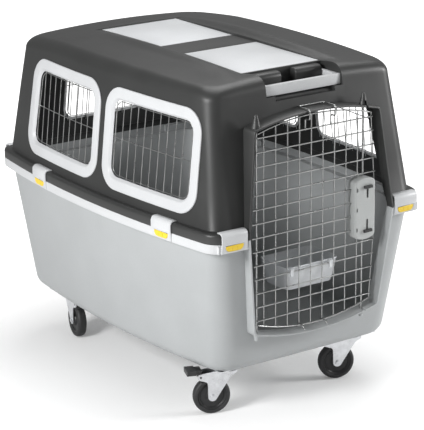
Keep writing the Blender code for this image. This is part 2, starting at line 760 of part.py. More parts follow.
def clip_parts(place, bm_blocks, bm_notches, bm_pins, name):
    """Make one clip and its button, and add its seat to the tray's cutters."""
    half = CLIP_WIDTH / 2
    blocks = ((-CLIP_BLOCK - WALL * 0.5, -half - 0.007, -RIM_BAND + WALL * 0.5),
              (-WALL * 0.5, half + 0.007, -0.002))
    put_placed_box(bm_blocks, place, *blocks)
    put_placed_box(bm_notches, place, (-CLIP_INSET, -half - RUN, -RIM_BAND - 0.006),
                   (0.01, half + RUN, 0.006))
    reach = half + CLIP_STUB_REACH
    start = place @ Vector((-CLIP_PIVOT_IN, -reach - RUN, -CLIP_PIVOT_DOWN))
    end = place @ Vector((-CLIP_PIVOT_IN, reach + RUN, -CLIP_PIVOT_DOWN))
    put_rod(bm_pins, start, end, CLIP_STUB + 2 * RUN, 6)

    inner = -CLIP_INSET + GAP
    barrel = -inner - CLIP_PIVOT_IN
    outline = arc((-CLIP_PIVOT_IN, -CLIP_PIVOT_DOWN), barrel, 180, 270, 2)
    outline += [(CLIP_SKIN - 0.0022, -CLIP_PIVOT_DOWN - 0.002),
                (CLIP_SKIN - 0.0012, 0.0),
                (CLIP_SKIN, 0.004)]
    bend = FLANGE_HEIGHT - FLANGE_ROUND
    outline += arc((-FLANGE_ROUND, bend), FLANGE_ROUND + CLIP_SKIN, 0, 90, 2)
    tip = -CLIP_REACH
    outline += [(tip, FLANGE_HEIGHT + CLIP_SKIN - 0.0012),
                (tip, FLANGE_HEIGHT + 2 * GAP)]
    outline += arc((-FLANGE_ROUND, bend), FLANGE_ROUND + 2 * GAP, 90, 0, 2)
    outline += [(2 * GAP, -0.0008), (inner, -0.0008)]
    upright = place @ Matrix.Rotation(math.pi / 2, 4, "X")
    clip = add_part(f"rim_clip_{name}", outline_prism(name, outline, half, upright),
                    pale_plastic())
    bm = bmesh.new()
    for sign in (-1, 1):
        root = place @ Vector((-CLIP_PIVOT_IN, sign * (half - 0.002), -CLIP_PIVOT_DOWN))
        tip_point = place @ Vector((-CLIP_PIVOT_IN, sign * reach, -CLIP_PIVOT_DOWN))
        put_rod(bm, root, tip_point, CLIP_STUB, 6)
    boolean(clip, add_cutter(f"clip stubs {name}", to_mesh("clip stubs", bm)), "UNION")

    outer = CLIP_SKIN - BUTTON_SUNK
    button = button_outline(BUTTON_LENGTH, BUTTON_HEIGHT)
    facing = place @ Matrix.Rotation(math.pi / 2, 4, "Y") @ Matrix.Rotation(math.pi / 2, 4, "Z")
    shift = Matrix.Translation((0.0, -BUTTON_DOWN, 0.0))
    pocket = button_outline(BUTTON_LENGTH + 2 * GAP, BUTTON_HEIGHT + 2 * GAP)
    depth = BUTTON_THICK + BUTTON_STROKE
    middle = Matrix.Translation((0.0, 0.0, outer - depth + (depth + 0.004) / 2))
    cut = outline_prism(name, pocket, (depth + 0.004) / 2, facing @ shift @ middle)
    boolean(clip, add_cutter(f"clip pocket {name}", cut))
    middle = Matrix.Translation((0.0, 0.0, outer - BUTTON_THICK / 2 + BUTTON_PROUD))
    add_part(f"clip_button_{name}",
             outline_prism(name, button, BUTTON_THICK / 2, facing @ shift @ middle),
             yellow_plastic())


def button_outline(length, height):
    """Flat top and rounded lower corners."""
    radius = 0.85 * height
    reach, level = length / 2 - radius, radius - height / 2
    outline = [(-length / 2, height / 2)] + arc((-reach, level), radius, 180, 270, 3)
    return outline + arc((reach, level), radius, 270, 360, 3) + [(length / 2, height / 2)]


def put_placed_box(bm, place, low, high):
    low, high = Vector(low), Vector(high)
    size = high - low
    matrix = place @ Matrix.Translation((low + high) / 2) @ Matrix.Diagonal((*size, 1.0))
    bmesh.ops.create_cube(bm, size=1.0, matrix=matrix)


def make_clips(tray):
    bm_blocks, bm_notches, bm_pins = bmesh.new(), bmesh.new(), bmesh.new()
    for name, point, angle in clip_places():
        clip_parts(clip_frame(point, angle), bm_blocks, bm_notches, bm_pins, name)
    boolean(tray, add_cutter("clip blocks", to_mesh("clip blocks", bm_blocks)), "UNION")
    boolean(tray, add_cutter("clip notches", to_mesh("clip notches", bm_notches)))
    boolean(tray, add_cutter("clip pin holes", to_mesh("clip pin holes", bm_pins)))


# Lower tray

def make_tray():
    mesh = loft("lower_tray", tray_rings(), cap_first=True, cap_last=False)
    tray = add_part("lower_tray", mesh, grey_shell())
    shell = tray.modifiers.new("wall", "SOLIDIFY")
    shell.thickness = WALL
    shell.offset = -1.0
    boolean(tray, portal_block("tray portal", False), "UNION")
    bm = bmesh.new()
    for x in (HINGE_X, LOCK_X):
        y = HINGE_Y
        top = sill_level(x) - PORTAL_WALL / 2
        put_rod(bm, (x, y, top - 0.018), (x, y, top), 0.005, 10, 0.008)
    boolean(tray, add_cutter("sill bosses", to_mesh("sill bosses", bm)), "UNION")
    make_clips(tray)
    boolean(tray, opening_cutter("tray doorway", False))
    bm = bmesh.new()
    low = sill_level(HINGE_X) - 0.013
    put_rod(bm, (HINGE_X, HINGE_Y, low), (HINGE_X, HINGE_Y, low + 0.03),
            ROD_RADIUS + RUN, 12)
    boolean(tray, add_cutter("sill rod hole", to_mesh("sill rod hole", bm)))
    boolean(tray, keeper_cutter("sill keeper", sill_level(LOCK_X) - 0.012,
                                sill_level(LOCK_X) + 0.02))
    holes = []
    for _, place in castor_places():
        for x, y in bolt_pattern():
            holes.append((place @ Vector((x, y, -WALL)), place @ Vector((x, y, 2 * WALL)),
                          BOLT_RADIUS + 2 * GAP))
    boolean(tray, add_cutter("castor rivet holes", rod_mesh("rivet holes", holes, 8)))
    sinks = [(place @ Vector((x, y, WALL - RIVET_SINK)), place @ Vector((x, y, 2 * WALL)),
              RIVET_HEAD + 2 * GAP)
             for _, place in castor_places() for x, y in bolt_pattern()]
    boolean(tray, add_cutter("castor rivet sinks", rod_mesh("rivet sinks", sinks, 8)))
    return tray


def keeper_cutter(name, low, high):
    """Seat of a door bolt, open to the front so that the door can swing."""
    wide = ROD_RADIUS + 2 * RUN
    boxes = ((LOCK_X - wide, PORTAL_RIM_Y - 0.01, low),
             (LOCK_X + wide, HINGE_Y + wide, high))
    return add_cutter(name, box_mesh(name, boxes))


# Upper cover

def make_cover():
    mesh = loft("upper_cover", cover_rings(), cap_first=False, cap_last=True)
    cover = add_part("upper_cover", mesh, dark_shell())
    shell = cover.modifiers.new("wall", "SOLIDIFY")
    shell.thickness = WALL
    shell.offset = -1.0
    boolean(cover, portal_block("cover portal", True), "UNION")
    boolean(cover, roof_block(), "UNION")
    bm = bmesh.new()
    for x in (HINGE_X, LOCK_X):
        foot = hood_level(x) - PORTAL_WALL / 2
        put_rod(bm, (x, HINGE_Y, foot), (x, HINGE_Y, foot + EAR_HEIGHT), EAR_FOOT, 12,
                EAR_TIP)
    boolean(cover, add_cutter("hood ears", to_mesh("hood ears", bm)), "UNION")
    boolean(cover, opening_cutter("cover doorway", True))
    bm = bmesh.new()
    top = hood_level(HINGE_X) + 0.012
    put_rod(bm, (HINGE_X, HINGE_Y, top - 0.04), (HINGE_X, HINGE_Y, top),
            ROD_RADIUS + RUN, 12)
    boolean(cover, add_cutter("hood rod hole", to_mesh("hood rod hole", bm)))
    boolean(cover, keeper_cutter("hood keeper", hood_level(LOCK_X) - 0.03,
                                 hood_level(LOCK_X) + 0.012))
    boolean(cover, add_cutter("roof pockets", roof_pockets()))
    boolean(cover, add_cutter("handle barrels", handle_barrels()), "UNION")
    boolean(cover, add_cutter("pin holes", pin_holes()))
    for window in windows():
        boolean(cover, window_cutter(window))
    return cover


def roof_block():
    """Thick moulding under the roof that holds the lockers and the handle well."""
    side = LID_WIDTH / 2 + ROOF_BLOCK
    rear = BRIDGE_REAR + LID_LENGTH + ROOF_BLOCK
    floor = LID_Z - LID_THICK - LOCKER_DEPTH - WALL
    front_floor = HANDLE_Z - GRIP_ROOM - WALL
    bm = bmesh.new()
    put_box(bm, (-side, BRIDGE_FRONT - LID_LENGTH - ROOF_BLOCK, floor),
            (side, rear, ROOF_Z + 0.02))
    block = add_cutter("roof block", to_mesh("roof block", bm))
    bm = bmesh.new()
    put_box(bm, (-side, -WALL_HALF_LENGTH, front_floor),
            (side, BRIDGE_FRONT - LID_LENGTH, ROOF_Z + 0.02))
    well = add_cutter("handle block", to_mesh("handle block", bm))
    boolean(block, well, "UNION")
    core = add_cutter("cover core", loft("cover core", cover_rings(0.001)))
    boolean(block, core, "INTERSECT")
    return block


def lid_span(front):
    """Y of a lid's hinge edge and of its free edge."""
    if front:
        return BRIDGE_FRONT, BRIDGE_FRONT - LID_LENGTH
    return BRIDGE_REAR, BRIDGE_REAR + LID_LENGTH


def roof_pockets():
    """Rebates for the lids, the lockers under them and the handle's well."""
    bm = bmesh.new()
    wide = LID_WIDTH / 2 + GAP * 2
    above = ROOF_Z + 0.02
    seat = LID_Z - LID_THICK - GAP
    front_end = lid_span(True)[1] - GAP * 2
    rear_end = lid_span(False)[1] + GAP * 2
    put_box(bm, (-wide, front_end, LID_Z), (wide, rear_end, above))
    for front in (True, False):
        hinge, free = lid_span(front)
        toward = -1.0 if front else 1.0
        ys = sorted((hinge - toward * GAP * 2, free + toward * GAP * 2))
        put_box(bm, (-wide, ys[0], seat), (wide, ys[1], above))
        ys = sorted((hinge - toward * GAP * 2, hinge + toward * 0.012))
        put_box(bm, (-wide, ys[0], seat - 0.008), (wide, ys[1], above))
        ys = sorted((hinge + toward * 0.014, free - toward * LID_REBATE))
        inside = LID_WIDTH / 2 - LID_REBATE
        put_box(bm, (-inside, ys[0], LID_Z - LID_THICK - LOCKER_DEPTH),
                (inside, ys[1], above))
    side = HANDLE_WIDTH / 2 + 0.0015
    put_box(bm, (-side, -WALL_HALF_LENGTH - 0.02, HANDLE_Z - 0.0012),
            (side, WELL_REAR, above))
    grip = side - 0.026
    put_box(bm, (-grip, -WALL_HALF_LENGTH - 0.02, HANDLE_Z - GRIP_ROOM),
            (grip, HANDLE_FRONT + HANDLE_BAR + 0.016, above))
    mesh = to_mesh("roof pockets", bm)
    return union_of_islands(mesh, "roof pockets")


def union_of_islands(mesh, name):
    """Join overlapping closed islands of one mesh into a single body."""
    holder = bpy.data.objects.new(name, mesh)
    bpy.context.scene.collection.objects.link(holder)
    far = bmesh.new()
    put_box(far, (5.0, 5.0, 5.0), (5.1, 5.1, 5.1))
    spare = bpy.data.objects.new("spare", to_mesh("spare", far))
    bpy.context.scene.collection.objects.link(spare)
    join = holder.modifiers.new("join", "BOOLEAN")
    join.operation = "DIFFERENCE"
    join.solver = "EXACT"
    join.use_self = True
    join.object = spare
    joined = settle(holder, name)
    bpy.data.objects.remove(spare, do_unlink=True)
    return joined


def barrel_reach():
    """X of the outer end of each handle barrel."""
    return HANDLE_WIDTH / 2 - HANDLE_BAR - GAP * 2


def handle_barrels():
    """Two round-nosed bearing blocks in the handle's well."""
    bm = bmesh.new()
    floor = HANDLE_Z - 0.003
    nose = SEAM_Z + BARREL_TOP - BARREL_RADIUS
    rear = WELL_REAR + WALL / 2
    for sign in (-1, 1):
        inner, outer = sign * BARREL_INNER, sign * barrel_reach()
        put_rod(bm, (inner, HANDLE_PIVOT_Y, nose), (outer, HANDLE_PIVOT_Y, nose),
                BARREL_RADIUS, 16)
        xs = sorted((inner + sign * 0.0004, outer - sign * 0.0004))
        put_box(bm, (xs[0], HANDLE_PIVOT_Y - BARREL_RADIUS * 0.99, floor),
                (xs[1], rear - GAP, nose))
        put_box(bm, (xs[0], HANDLE_PIVOT_Y, floor),
                (xs[1], rear, nose + BARREL_RADIUS * 0.99))
    return union_of_islands(to_mesh("handle barrels", bm), "handle barrels")


def pin_holes():
    """Holes for the lids' and the handle's moulded pins."""
    reach = LID_WIDTH / 2 + LID_PIN_REACH + RUN
    rods = []
    for front in (True, False):
        y, z = lid_axis(front)
        rods.append(((-reach, y, z), (reach, y, z), LID_PIN + RUN))
    for sign in (-1, 1):
        outer = sign * (barrel_reach() + 0.001)
        inner = sign * (barrel_reach() - HANDLE_PIN_REACH - RUN)
        rods.append(((inner, HANDLE_PIVOT_Y, HANDLE_PIVOT_Z),
                     (outer, HANDLE_PIVOT_Y, HANDLE_PIVOT_Z), HANDLE_PIN + RUN))
    return rod_mesh("pin holes", rods, 12)


# Roof lids and carry handle

def lid_axis(front):
    """Y and Z of a lid's hinge axis."""
    hinge, _ = lid_span(front)
    toward = -1.0 if front else 1.0
    return hinge + toward * LID_AXIS_IN, LID_Z - LID_THICK


def make_lid(name, front):
    hinge, free = lid_span(front)
    y, z = lid_axis(front)
    half = LID_WIDTH / 2
    ys = sorted((hinge, free))
    lid = add_part(name, box_mesh(name, ((-half, ys[0], LID_Z - LID_THICK),
                                         (half, ys[1], LID_Z))), pale_plastic())
    round_edges(lid, LID_EDGE, 1)
    bm = bmesh.new()
    reach = half + LID_PIN_REACH
    put_rod(bm, (-reach, y, z), (reach, y, z), LID_PIN, 12)
    boolean(lid, add_cutter(f"{name} pin", to_mesh("lid pin", bm)), "UNION")
    return lid


def make_handle():
    """C-shaped pull handle that lies in its well over the roof's front edge."""
    half = HANDLE_WIDTH / 2
    top = HANDLE_Z + HANDLE_FACE
    bar = box_mesh("carry_handle", ((-half, HANDLE_FRONT, HANDLE_Z),
                                    (half, HANDLE_FRONT + HANDLE_BAR, top)))
    handle = add_part("carry_handle", bar, pale_plastic())
    round_edges(handle, 0.003, 2)
    bm = bmesh.new()
    outer = half - 0.0006
    for sign in (-1, 1):
        xs = sorted((sign * outer, sign * (half - HANDLE_BAR)))
        put_box(bm, (xs[0], HANDLE_FRONT + HANDLE_BAR * 0.5,
                     HANDLE_PIVOT_Z - HANDLE_EYE + 0.0004),
                (xs[1], HANDLE_PIVOT_Y, top - 0.0006))
        put_rod(bm, (xs[0], HANDLE_PIVOT_Y, HANDLE_PIVOT_Z),
                (xs[1], HANDLE_PIVOT_Y, HANDLE_PIVOT_Z), HANDLE_EYE, 16)
        inner = sign * (barrel_reach() - HANDLE_PIN_REACH)
        put_rod(bm, (sign * (half - 0.002), HANDLE_PIVOT_Y, HANDLE_PIVOT_Z),
                (inner, HANDLE_PIVOT_Y, HANDLE_PIVOT_Z), HANDLE_PIN, 12)
    arms = union_of_islands(to_mesh("handle arms", bm), "handle arms")
    boolean(handle, add_cutter("handle arms", arms), "UNION")
    return handle


# Side windows

def windows():
    """Name, side (sign of X, or 0 for the rear wall), middle, lean and length of each."""
    listed = [("rear", 0.0, 0.0, 0.0, WINDOW_END_LENGTH)]
    for side, sign in (("left", -1.0), ("right", 1.0)):
        listed.append((f"{side}_front", sign, WINDOW_FRONT_Y, 0.0, WINDOW_FRONT_LENGTH))
        listed.append((f"{side}_rear", sign, WINDOW_REAR_Y, WINDOW_REAR_SLANT,
                       WINDOW_REAR_LENGTH))
    return listed


def window_outline(window, inset, arc_steps=3, side_steps=4):
    """Rounded outline in Y and Z, drawn in by inset."""
    _, _, middle, slant, length = window
    half_length = length / 2 - inset
    half_height = WINDOW_HEIGHT / 2 - inset
    corner = max(WINDOW_CORNER - inset, 0.01)
    points = []
    for start, sy, sz in ((0, 1, 1), (90, -1, 1), (180, -1, -1), (270, 1, -1)):
        centre = (sy * (half_length - corner), sz * (half_height - corner))
        points += arc(centre, corner, start, start + 90, arc_steps)
        if sz == sy:
            far = -centre[0]
            points += [(centre[0] + (far - centre[0]) * k / side_steps,
                        sz * half_height) for k in range(1, side_steps)]
    outline = []
    for y, z in points:
        lean = slant * (z / WINDOW_HEIGHT) * (0.5 + y / (2 * half_length))
        outline.append((middle + y - lean, WINDOW_Z + z))
    return outline


def wall_ring(outline, sign, out):
    """Outline laid on a side wall, or on the rear wall where sign is 0."""
    if not sign:
        return [tuple(rear_face(x, z, out)) for x, z in outline]
    ring = [cover_face(y, z, out) for y, z in outline]
    return [(sign * p.x, p.y, p.z) for p in ring]


def window_cutter(window):
    name, sign = window[:2]
    outline = window_outline(window, WINDOW_BEZEL - BEZEL_SEAT)
    rings = [wall_ring(outline, sign, out) for out in (-0.015, 0.015)]
    return add_cutter(f"window hole {name}", loft(f"window hole {name}", rings))


def make_bezel(window):
    """Pale frame that lies on the wall and lines its hole."""
    name, sign = window[:2]
    lining = WINDOW_BEZEL - BEZEL_SEAT + 2 * GAP
    rows = ((0.0, GAP), (0.001, BEZEL_PROUD), (WINDOW_BEZEL - 0.001, BEZEL_PROUD),
            (WINDOW_BEZEL, -WALL), (lining, -WALL), (lining, GAP))
    rings = [wall_ring(window_outline(window, inset), sign, out)
             for inset, out in rows]
    node = f"window_frame_{name}"
    bezel = add_part(node, loft(node, rings, False, False, closed=True), pale_plastic())
    smooth(bezel)
    return bezel


def make_grille(window):
    """Upright wires behind the wall's hole, on a rounded border wire."""
    name, sign = window[:2]
    column_out = -WALL - 2 * GAP - GRILLE_RADIUS
    border_out = column_out - 2 * GRILLE_RADIUS + WELD
    hole = window_outline(window, WINDOW_BEZEL - BEZEL_SEAT)
    border = window_outline(window, WINDOW_BEZEL + 0.004, 2, 2)
    runs = [(wall_ring(border, sign, border_out), GRILLE_RADIUS, True)]
    low, high = min(y for y, _ in hole), max(y for y, _ in hole)
    columns = round((high - low) / GRILLE_PITCH)
    pitch = (high - low) / columns
    for k in range(columns):
        y = low + pitch * (k + 0.5)
        reach = WINDOW_HEIGHT / 2 - WINDOW_BEZEL + BEZEL_SEAT + GRILLE_TAIL
        drawn = corner_draw(y, low, high)
        ends = [(y, WINDOW_Z - reach + drawn), (y, WINDOW_Z + reach - drawn)]
        runs.append((wall_ring(ends, sign, column_out), GRILLE_RADIUS, False))
    ys = [low + 0.002 + (high - low - 0.004) * k / 4 for k in range(5)]
    runs.append((wall_ring([(y, WINDOW_Z) for y in ys], sign, border_out),
                 GRILLE_RADIUS, False))
    return wires(f"window_grille_{name}", runs, bright_wire())


def corner_draw(y, low, high):
    """How much shorter a wire is near a window's round corners."""
    corner = WINDOW_CORNER - WINDOW_BEZEL + BEZEL_SEAT
    near = min(y - low, high - y)
    if near >= corner:
        return 0.0
    return 0.7 * (corner - math.sqrt(corner ** 2 - (corner - near) ** 2))


# Door

def door_rows():
    """Heights of the level wires, as many as fit over the bottom wire's ends."""
    count = int((ROW_TOP_Z - FOOT_Z - DOOR_ROW_ABOVE_FOOT) / DOOR_PITCH) + 1
    return [ROW_TOP_Z - DOOR_PITCH * k for k in range(count)]


def latch_half():
    return LATCH_HEIGHT / 2


def make_door():
    """Welded wire door with its over-hood loop and sill prongs."""
    runs = []
    for z in door_rows():
        right = door_edge(z) + 0.002
        if abs(z - LATCH_Z) < latch_half() + 0.002:
            right = LATCH_LEFT - GAP
        runs.append(([(-door_edge(z) - 0.002, ROW_Y, z), (right, ROW_Y, z)],
                     ROW_RADIUS, False))
    for k in range(DOOR_COLUMNS):
        x = HINGE_X + DOOR_FIRST_COLUMN + DOOR_COLUMN_PITCH * k
        low, high = foot_level(x) - 0.001, head_level(x) + 0.001
        if LATCH_LEFT < x < LATCH_RIGHT:
            dome = latch_half() + GAP
            runs.append(([(x, COLUMN_Y, low), (x, COLUMN_Y, LATCH_Z - dome)],
                         COLUMN_RADIUS, False))
            runs.append(([(x, COLUMN_Y, LATCH_Z + dome), (x, COLUMN_Y, high)],
                         COLUMN_RADIUS, False))
        else:
            runs.append(([(x, COLUMN_Y, low), (x, COLUMN_Y, high)], COLUMN_RADIUS, False))
    edge = [(door_edge(z), COLUMN_Y, z) for z in (FOOT_Z - 0.002, SEAM_Z, HEAD_Z + 0.002)]
    runs.append((edge, COLUMN_RADIUS, False))
    for level in (head_level, foot_level):
        xs = [DOOR_END_HALF * (-1 + k / 6) for k in range(13)]
        runs.append(([(x, ROW_Y, level(x)) for x in xs], ROW_RADIUS, False))
    runs.append((hood_loop(), ROW_RADIUS, False))
    runs += [(sill_prong(x), ROW_RADIUS, False) for x in PRONGS]
    return wires("door_grille", runs, bright_wire())


def hood_loop():
    """Wire that leaves the top wire, rounds the hood's edge and lies on the hood."""
    front = portal_front(HOOD_Z + HOOD_RISE) - ROW_RADIUS - 0.002
    above = HOOD_Z + HOOD_RISE + ROW_RADIUS + 0.001
    back = -cover_half_length(above) - ROW_RADIUS - 0.003
    inside = ROW_Y + 2 * ROW_RADIUS - WELD
    points = []
    for x, toward in ((LOOP_LEFT, 1), (LOOP_RIGHT, -1)):
        low = head_level(x)
        leg = [(x, inside, ROW_TOP_Z - 0.003),
               (x, inside, low - 0.006 - ROW_RADIUS * 2),
               (x, front, low - 0.006 - ROW_RADIUS * 2), (x, front, above),
               (x, back, above)]
        points += leg if toward > 0 else leg[::-1]
    return points


def sill_prong(x):
    """Short wire from the bottom wire forwards over the sill."""
    low = foot_level(x)
    inside = ROW_Y + 2 * ROW_RADIUS - WELD
    return [(x, inside, low - ROW_RADIUS * 2),
            (x, inside, low + ROW_RADIUS * 2 + 0.001),
            (x, PORTAL_RIM_Y + PORTAL_LEAN - 0.002, low + ROW_RADIUS * 2 + 0.001),
            (x, PORTAL_RIM_Y + PORTAL_LEAN - 0.012, low - 0.004)]


def make_hinge_rod():
    low = sill_level(HINGE_X) - 0.012
    high = hood_level(HINGE_X) + 0.011
    mesh = rod_mesh("door_hinge_rod", [((HINGE_X, HINGE_Y, low), (HINGE_X, HINGE_Y, high),
                                        ROD_RADIUS)])
    return add_part("door_hinge_rod", mesh, bright_wire())


# Latch

def latch_outline(inset):
    half_width = (LATCH_RIGHT - LATCH_LEFT) / 2 - inset
    straight = latch_half() - LATCH_DOME
    dome = LATCH_DOME - inset * 0.4
    points = []
    for sign in (1, -1):
        for k in range(7):
            x = sign * half_width * (1 - k / 3)
            rise = dome * math.sqrt(max(0.0, 1 - (x / half_width) ** 2))
            points.append((x, sign * (straight + rise - inset * 0.3)))
    middle = (LATCH_LEFT + LATCH_RIGHT) / 2
    return [(middle + x, LATCH_Z + z) for x, z in points]


def latch_ring(inset, y):
    return [(x, y, z) for x, z in latch_outline(inset)]


def make_latch_housing():
    rings = [latch_ring(0.0, LATCH_BACK), latch_ring(0.0, LATCH_FRONT + 0.004),
             latch_ring(0.0015, LATCH_FRONT + 0.0012), latch_ring(0.0045, LATCH_FRONT)]
    housing = add_part("latch_housing", loft("latch_housing", rings), pale_plastic())
    inner = [latch_ring(LATCH_SKIN, LATCH_BACK + 0.01),
             latch_ring(LATCH_SKIN, LATCH_FRONT + 0.006),
             latch_ring(LATCH_SKIN + 0.004, LATCH_FRONT + LATCH_SKIN)]
    cavity = add_cutter("latch cavity", loft("latch cavity", inner))
    rib = box_mesh("latch rib", ((LATCH_LEFT - 0.01, LATCH_FRONT, LATCH_Z - 0.0015),
                                 (LATCH_RIGHT + 0.01, LATCH_BACK + 0.02, LATCH_Z + 0.0015)))
    boolean(cavity, add_cutter("latch rib", rib))
    boolean(housing, cavity)
    bm = bmesh.new()
    wide = SLOT_WIDTH / 2
    for sign in (1, -1):
        far = LATCH_Z + sign * (TRIGGER_OFFSET + wide + RUN)
        near = LATCH_Z + sign * (TRIGGER_OFFSET - LATCH_STROKE - wide - RUN)
        low, high = sorted((far, near))
        put_box(bm, (LOCK_X - wide, LATCH_FRONT - 0.01, low),
                (LOCK_X + wide, LATCH_FRONT + 0.008, high))
        end = LATCH_Z + sign * (latch_half() + 0.01)
        start = LATCH_Z + sign * (latch_half() - 0.02)
        put_rod(bm, (LOCK_X, HINGE_Y, start), (LOCK_X, HINGE_Y, end),
                ROD_RADIUS + RUN, 12)
    boolean(housing, add_cutter("latch slots", to_mesh("latch slots", bm)))
    return housing


def make_latch_back():
    """Snap-on rear cover of the latch."""
    rings = [latch_ring(0.0, LATCH_BACK + GAP), latch_ring(0.0, LATCH_BACK + 0.002),
             latch_ring(0.001, LATCH_BACK + 0.003)]
    return add_part("latch_back_cover", loft("latch_back_cover", rings), pale_plastic())


def slider_middle(sign):
    """Z of the middle of a latch slider's inner block."""
    return LATCH_Z + sign * TRIGGER_OFFSET


def make_latch_set(name, sign):
    """Thumb slider, bolt rod and return spring on one side of the latch."""
    z = slider_middle(sign)
    half = SLIDER_WIDTH / 2
    bm = bmesh.new()
    put_box(bm, (LOCK_X - half, HINGE_Y - SLIDER_DEPTH / 2, z - SLIDER_LENGTH / 2),
            (LOCK_X + half, HINGE_Y + SLIDER_DEPTH / 2, z + SLIDER_LENGTH / 2))
    neck = SLOT_WIDTH / 2 - RUN
    put_box(bm, (LOCK_X - neck, LATCH_FRONT - 0.002, z - neck),
            (LOCK_X + neck, HINGE_Y, z + neck))
    put_box(bm, (LOCK_X - TRIGGER_WIDTH / 2, LATCH_FRONT - 0.006, z - TRIGGER_SIZE / 2),
            (LOCK_X + TRIGGER_WIDTH / 2, LATCH_FRONT - GAP, z + TRIGGER_SIZE / 2))
    node = f"{name}_latch_trigger"
    trigger = add_part(node, union_of_islands(to_mesh(node, bm), node), black_plastic())
    start = z + sign * (SLIDER_LENGTH / 2 - 0.010)
    hole = rod_mesh(node, [((LOCK_X, HINGE_Y, start),
                            (LOCK_X, HINGE_Y, z + sign * SLIDER_LENGTH), ROD_RADIUS + GAP)])
    boolean(trigger, add_cutter(f"{name} bolt hole", hole))
    end = hood_level(LOCK_X) + 0.010 if sign > 0 else sill_level(LOCK_X) - 0.010
    rod = [((LOCK_X, HINGE_Y, start + sign * GAP), (LOCK_X, HINGE_Y, end), ROD_RADIUS)]
    add_part(f"{name}_latch_bolt", rod_mesh("bolt", rod), bright_wire())
    seat = LATCH_Z + sign * (0.0015 + GAP + SPRING_WIRE)
    push = z - sign * (SLIDER_LENGTH / 2 + GAP + SPRING_WIRE)
    steps = 7
    coil = []
    for k in range(SPRING_CURLS * steps + 1):
        angle = 2 * math.pi * k / steps
        height = seat + (push - seat) * k / (SPRING_CURLS * steps)
        coil.append((LOCK_X + SPRING_RADIUS * math.cos(angle),
                     HINGE_Y + SPRING_RADIUS * math.sin(angle), height))
    wires(f"{name}_latch_spring", [(coil, SPRING_WIRE, False)], bright_wire())
    print(f"{name} spring, least gap between curls:", least_gap(coil, steps, SPRING_WIRE))


def least_gap(points, steps, radius):
    """Smallest clear distance between one curl of a tube and the next."""
    gaps = [math.dist(points[i], points[j]) - 2 * radius
            for i in range(len(points)) for j in range(i + steps // 2, len(points))]
    return round(min(gaps), 5)


# Water bowl

def bowl_ring(half_width, half_depth, corner, y_front, z):
    middle = (BOWL_MIDDLE, y_front + BOWL_DEPTH / 2)
    points = []
    for start, sx, sy in ((0, 1, 1), (90, -1, 1), (180, -1, -1), (270, 1, -1)):
        centre = (middle[0] + sx * (half_width - corner),
                  middle[1] + sy * (half_depth - corner))
        points += arc(centre, corner, start, start + 90, 3)
    return [(x, y, z) for x, y in points]


def make_bowl():
    """Tapered bowl hung on a door wire by two hooks."""
    wire_z = door_rows()[BOWL_ROW]
    front = COLUMN_Y + COLUMN_RADIUS + GAP
    rim = wire_z + ROW_RADIUS + 0.008
    half_width, half_depth = BOWL_WIDTH / 2, BOWL_DEPTH / 2
    rings = []
    for height, inset, corner in ((0.0, BOWL_TAPER + 0.006, 0.012),
                                  (0.004, BOWL_TAPER + 0.001, 0.014),
                                  (BOWL_HEIGHT * 0.5, BOWL_TAPER * 0.55, 0.015),
                                  (BOWL_HEIGHT - 0.003, BOWL_WALL, 0.014),
                                  (BOWL_HEIGHT - 0.003, 0.0, 0.016),
                                  (BOWL_HEIGHT, 0.0, 0.016)):
        rings.append(bowl_ring(half_width - inset, half_depth - inset, corner, front,
                               rim - BOWL_HEIGHT + height))
    mesh = loft("water_bowl", rings, cap_first=True, cap_last=False)
    bowl = add_part("water_bowl", mesh, milky_plastic())
    shell = bowl.modifiers.new("wall", "SOLIDIFY")
    shell.thickness = BOWL_WALL
    shell.offset = -1.0
    bm = bmesh.new()
    over = wire_z + ROW_RADIUS + GAP
    nose = ROW_Y - ROW_RADIUS - GAP
    half = BOWL_HOOK_WIDTH / 2
    for x in BOWL_HOOKS:
        put_box(bm, (x - half, nose - 0.0025, over),
                (x + half, front + BOWL_WALL + 0.003, rim - 0.0006))
        put_box(bm, (x - half, nose - 0.0025, wire_z - 0.010),
                (x + half, nose, rim - 0.0006))
    hooks = union_of_islands(to_mesh("bowl hooks", bm), "bowl hooks")
    boolean(bowl, add_cutter("bowl hooks", hooks), "UNION")
    return bowl


# Castors

def castor_places():
    """Name and placing matrix of each castor, at the middle of its plate's top."""
    places = []
    for end, (x, y) in (("front", CASTOR_FRONT), ("rear", CASTOR_REAR)):
        places.append((f"{end}_left", Matrix.Translation((-x, y, TRAY_Z))))
        places.append((f"{end}_right", Matrix.Translation((x, y, TRAY_Z))))
    return places


def castor_turns():
    """Angle about Z at which each castor stands; its wheel trails along local -X."""
    return {"front_left": -22.0, "front_right": -22.0, "rear_left": 78.0,
            "rear_right": 55.0}


def bolt_pattern():
    return [(sx * BOLT_PITCH_X / 2, sy * BOLT_PITCH_Y / 2)
            for sx in (-1, 1) for sy in (-1, 1)]


